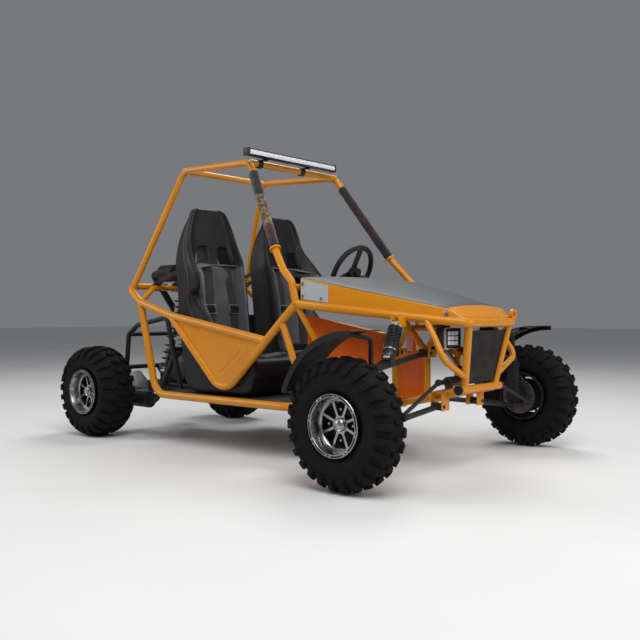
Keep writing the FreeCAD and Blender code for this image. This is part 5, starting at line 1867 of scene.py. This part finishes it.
def pad_sleeve(name, side):
    """Slightly lumpy sleeve along a pillar, drawn in at its ends and along its seam."""
    start, end = (pad_top.lerp(pad_low, share) for share in (pad_start_share, pad_end_share))
    start.y *= side
    end.y *= side
    run = (end - start).normalized()
    over = run.cross(Vector(AXLE)).normalized()
    beside = run.cross(over)
    rings = []
    for index in range(pad_stations + 1):
        share = index / pad_stations
        lump = pad_wave_share * math.sin(share * pad_waves[0]) * math.sin(share * pad_waves[1])
        radius = pad_radius * (1 + lump)
        radius *= min(1.0, pad_end_radius_share + pad_end_rise * min(share, 1 - share))
        middle = start.lerp(end, share)
        ring = []
        for step in range(pad_sides):
            angle = 2 * math.pi * step / pad_sides
            seam = 1 - pad_seam_share * math.exp(-((angle - pad_seam_angle) / pad_seam_width) ** 2)
            out = over * math.cos(angle) + beside * math.sin(angle)
            ring.append(middle + out * radius * seam)
        rings.append(ring)
    return smooth(lofted(name, rings), 60)


class BUGGY_OT_pads(bpy.types.Operator):
    """Sleeves round the windscreen pillars, in mottled cloth"""

    bl_idname = "buggy.pads"
    bl_label = "Pillar pads"

    def execute(self, context):
        for side, name, bands in ((RIGHT, "pad_right", near_bands), (LEFT, "pad_left", far_bands)):
            pad = pad_sleeve(name, side)
            dressed(pad, pad_cloth(name, bands), "chassis", ("pillar_pads",))
        return {"FINISHED"}


# Chain drive, covers and hoses of the engine

chain_y = 0.2055
chain_pitch = 0.0127
chain_wheel_radius = 0.096
chain_pinion_radius = 0.030
chain_wheel_steps = 40
chain_pinion_steps = 20
pinion_x = -0.700
pinion_z = 0.330
link_length_share = 1.62
link_thickness = 0.0014
link_height = 0.0098
link_edge = 0.0035
outer_link_y = 0.0046
inner_link_y = 0.0030
roller_half = 0.0036
roller_radius = 0.0040
shaft_inner = 0.095
shaft_outer = 0.012
shaft_radius = 0.011
cog_half = 0.0025
cog_radius = 0.028
cog_teeth = 13
crank_z = 0.352
# Round covers of the crankcase: y where they start and end, radius, edge
cover_form = (0.112, 0.140, 0.070, 0.008)
starter_form = (-0.112, -0.150, 0.074, 0.010)
starter_screw_y = -0.148
starter_screw_ring = 0.058
starter_screw_count = 6
starter_screw_turn = 20
starter_screw_height = 0.007
starter_screw_radius = 0.0055
plug_lead_route = (
    (-0.655, -0.020, 0.575), (-0.625, -0.040, 0.590), (-0.600, -0.090, 0.540), (-0.605, -0.120, 0.440),
    (-0.640, -0.125, 0.390),
)
plug_lead_radius = 0.0038
fuel_hose_route = (
    (-0.560, 0.030, 0.480), (-0.580, 0.000, 0.455), (-0.630, -0.060, 0.470), (-0.700, -0.090, 0.520),
    (-0.740, -0.070, 0.560),
)
fuel_hose_radius = 0.0050
hose_steps = 30
plug_cap_start = (-0.668, -0.016, 0.568)
plug_cap_end = (-0.640, -0.030, 0.584)
plug_cap_radius = 0.010


def around_wheel(centre, radius, start, sweep, steps):
    """Points of an arc round a sprocket, from an angle on."""
    points = []
    for step in range(steps + 1):
        angle = start + sweep * step / steps
        points.append(centre + Vector((math.cos(angle), 0, math.sin(angle))) * radius)
    return points


def chain_line():
    """Closed line round both sprockets and straight between them."""
    axle = Vector((rear_hub[LEFT].x, chain_y, rear_hub[LEFT].z))
    pinion = Vector((pinion_x, chain_y, pinion_z))
    run = pinion - axle
    tilt = math.atan2(run.z, run.x)
    lean = math.asin((chain_wheel_radius - chain_pinion_radius) / run.length)
    upper = tilt + math.pi / 2 - lean
    lower = tilt - math.pi / 2 + lean
    behind = 2 * math.pi - (upper - lower)
    stops = around_wheel(axle, chain_wheel_radius, upper, behind, chain_wheel_steps)
    stops += around_wheel(pinion, chain_pinion_radius, lower, upper - lower, chain_pinion_steps)
    return stops + [stops[0]]


def link_plates(pitch, y):
    """The two side plates of one chain link."""
    size = (pitch * link_length_share, link_thickness, link_height)
    return [rounded_block("plate", Vector((0, hand * y, 0)), size, link_edge, 1) for hand in (-1, 1)]


def drive_chain():
    """Outer and inner links by turns, laid along the chain's line."""
    stops = chain_line()
    lengths = [(after - before).length for before, after in zip(stops, stops[1:])]
    total = sum(lengths)
    count = int(total / chain_pitch / 2) * 2
    pitch = total / count
    outer = merged("link", link_plates(pitch, outer_link_y))
    rollers = []
    for hand in (-1, 1):
        roller = Vector((hand * pitch / 2, 0, 0))
        rollers.append(pin("roller", roller, (0, roller_half, 0), roller_radius, 8))
    inner = merged("link", link_plates(pitch, inner_link_y) + rollers)
    links = []
    for index in range(count):
        walk = pitch * (index + 0.5)
        place = 0
        while place < len(lengths) - 1 and walk > lengths[place]:
            walk -= lengths[place]
            place += 1
        before, after = stops[place], stops[place + 1]
        heading = after - before
        tilt = Matrix.Rotation(-math.atan2(heading.z, heading.x), 4, "Y")
        turn = Matrix.Translation(before.lerp(after, walk / lengths[place])) @ tilt
        links.append(copied(outer if index % 2 else inner, turn))
    for pattern in (outer, inner):
        bpy.data.objects.remove(pattern)
    return merged("drive_chain", links)


def crank_cover(name, form):
    """Round cover on one side of the crankcase."""
    start_y, end_y, radius, edge = form
    start = Vector((pinion_x, start_y, crank_z))
    return bevelled(round_bar(name, start, Vector((pinion_x, end_y, crank_z)), radius, 40), edge, 3)


def starter_screws():
    """Screws in a ring round the starter's cover."""
    screws = []
    for index in range(starter_screw_count):
        angle = math.radians(360 / starter_screw_count * index + starter_screw_turn)
        x = pinion_x + starter_screw_ring * math.cos(angle)
        z = crank_z + starter_screw_ring * math.sin(angle)
        reach = (0, -starter_screw_height, 0)
        screws.append(stub("screw", Vector((x, starter_screw_y, z)), reach, starter_screw_radius, 6))
    return screws


class BUGGY_OT_drive(bpy.types.Operator):
    """Drive chain round both sprockets, and the engine's covers, plug lead and hose"""

    bl_idname = "buggy.drive"
    bl_label = "Chain and engine fittings"

    def execute(self, context):
        links_steel = machined("chain_steel", (0.16, 0.15, 0.14), 0.45)
        black = moulded("hose_black", (0.010, 0.010, 0.011), 0.45)
        steel = machined("fitting_steel", (0.38, 0.38, 0.38), 0.35)
        alloy = cast("cover_alloy", (0.14, 0.14, 0.145), 0.45)
        dressed(drive_chain(), links_steel, "chassis")
        pinion = Vector((pinion_x, chain_y, pinion_z))
        shaft_start = pinion - Vector((0, shaft_inner, 0))
        shaft = round_bar("shaft", shaft_start, pinion + Vector((0, shaft_outer, 0)), shaft_radius, 20)
        cog = bevelled(pin("cog", pinion, (0, cog_half, 0), cog_radius, cog_teeth), fine_edge, 1)
        covers = [crank_cover("cover", cover_form), crank_cover("starter", starter_form)]
        dressed_group("engine_covers", covers, alloy, "chassis")
        fittings = [shaft, cog] + starter_screws()
        dressed_group("engine_fittings", fittings, steel, "chassis")
        hoses = [
            pipe("plug_lead", smooth_route(plug_lead_route, hose_steps), plug_lead_radius),
            pipe("fuel_hose", smooth_route(fuel_hose_route, hose_steps), fuel_hose_radius),
            round_bar("plug_cap", plug_cap_start, plug_cap_end, plug_cap_radius, 16),
        ]
        dressed_group("engine_hoses", hoses, black, "chassis", angle=40)
        return {"FINISHED"}


# Dampers' springs

spring_turns = 9.5
spring_steps = 200
spring_gap = 0.0365
spring_radius = 0.0245
spring_wire = 0.0046
closed_end_share = 0.035
# Eyes of the front and the rear dampers: top and foot on the left side
spring_eyes = (
    ((0.872, 0.322, 0.600), (0.9107, 0.430, 0.4696)),
    ((-0.655, 0.150, 0.744), (-0.800, 0.150, 0.3243)),
)


def coil(name, top, foot):
    """Open coil spring between two eyes, with its end turns closed."""
    run = (foot - top).normalized()
    over = run.cross(Vector(AXLE)).normalized()
    beside = run.cross(over)
    length = (foot - top).length - 2 * spring_gap
    points = []
    for index in range(spring_steps + 1):
        share = index / spring_steps
        rise = share - math.sin(2 * math.pi * share) * closed_end_share
        angle = 2 * math.pi * spring_turns * share
        out = over * math.cos(angle) + beside * math.sin(angle)
        points.append(top + run * (spring_gap + length * rise) + out * spring_radius)
    return pipe(name, points, spring_wire)


class BUGGY_OT_springs(bpy.types.Operator):
    """Coil springs over the four dampers"""

    bl_idname = "buggy.springs"
    bl_label = "Springs"

    def execute(self, context):
        black = coated("spring_black", (0.012, 0.012, 0.013), 0.32)
        parts = []
        for side in (RIGHT, LEFT):
            for top, foot in spring_eyes:
                ends = [Vector((x, side * y, z)) for x, y, z in (top, foot)]
                parts.append(coil("spring", *ends))
        dressed(merged("coil_springs", parts), black, "chassis", ("springs",))
        return {"FINISHED"}


class BUGGY_PT_workshop(bpy.types.Panel):
    """Lists the sizes, the colours and the steps of the build"""

    bl_idname = "BUGGY_PT_workshop"
    bl_label = "Dune buggy"
    bl_space_type = "VIEW_3D"
    bl_region_type = "UI"
    bl_category = "Buggy"

    def draw(self, context):
        for group in (context.scene.buggy_sizes, context.scene.buggy_colours):
            for name in group.__annotations__:
                self.layout.prop(group, name)
        for step in STEPS:
            self.layout.operator(step.bl_idname)


STEPS = (
    BUGGY_OT_studio,
    BUGGY_OT_metalwork,
    BUGGY_OT_tyres,
    BUGGY_OT_seats,
    BUGGY_OT_wheels,
    BUGGY_OT_nose,
    BUGGY_OT_hood,
    BUGGY_OT_lamps,
    BUGGY_OT_pads,
    BUGGY_OT_springs,
    BUGGY_OT_drive,
)
CLASSES = (BuggySizes, BuggyColours) + STEPS + (BUGGY_PT_workshop,)


def register():
    for kind in CLASSES:
        bpy.utils.register_class(kind)
    bpy.types.Scene.buggy_sizes = PointerProperty(type=BuggySizes)
    bpy.types.Scene.buggy_colours = PointerProperty(type=BuggyColours)


def unregister():
    del bpy.types.Scene.buggy_colours
    del bpy.types.Scene.buggy_sizes
    for kind in reversed(CLASSES):
        bpy.utils.unregister_class(kind)


def main():
    """Build every group of pieces in order."""
    register()
    for step in STEPS:
        group, name = step.bl_idname.split(".")
        getattr(getattr(bpy.ops, group), name)()


if __name__ == "__main__":
    main()
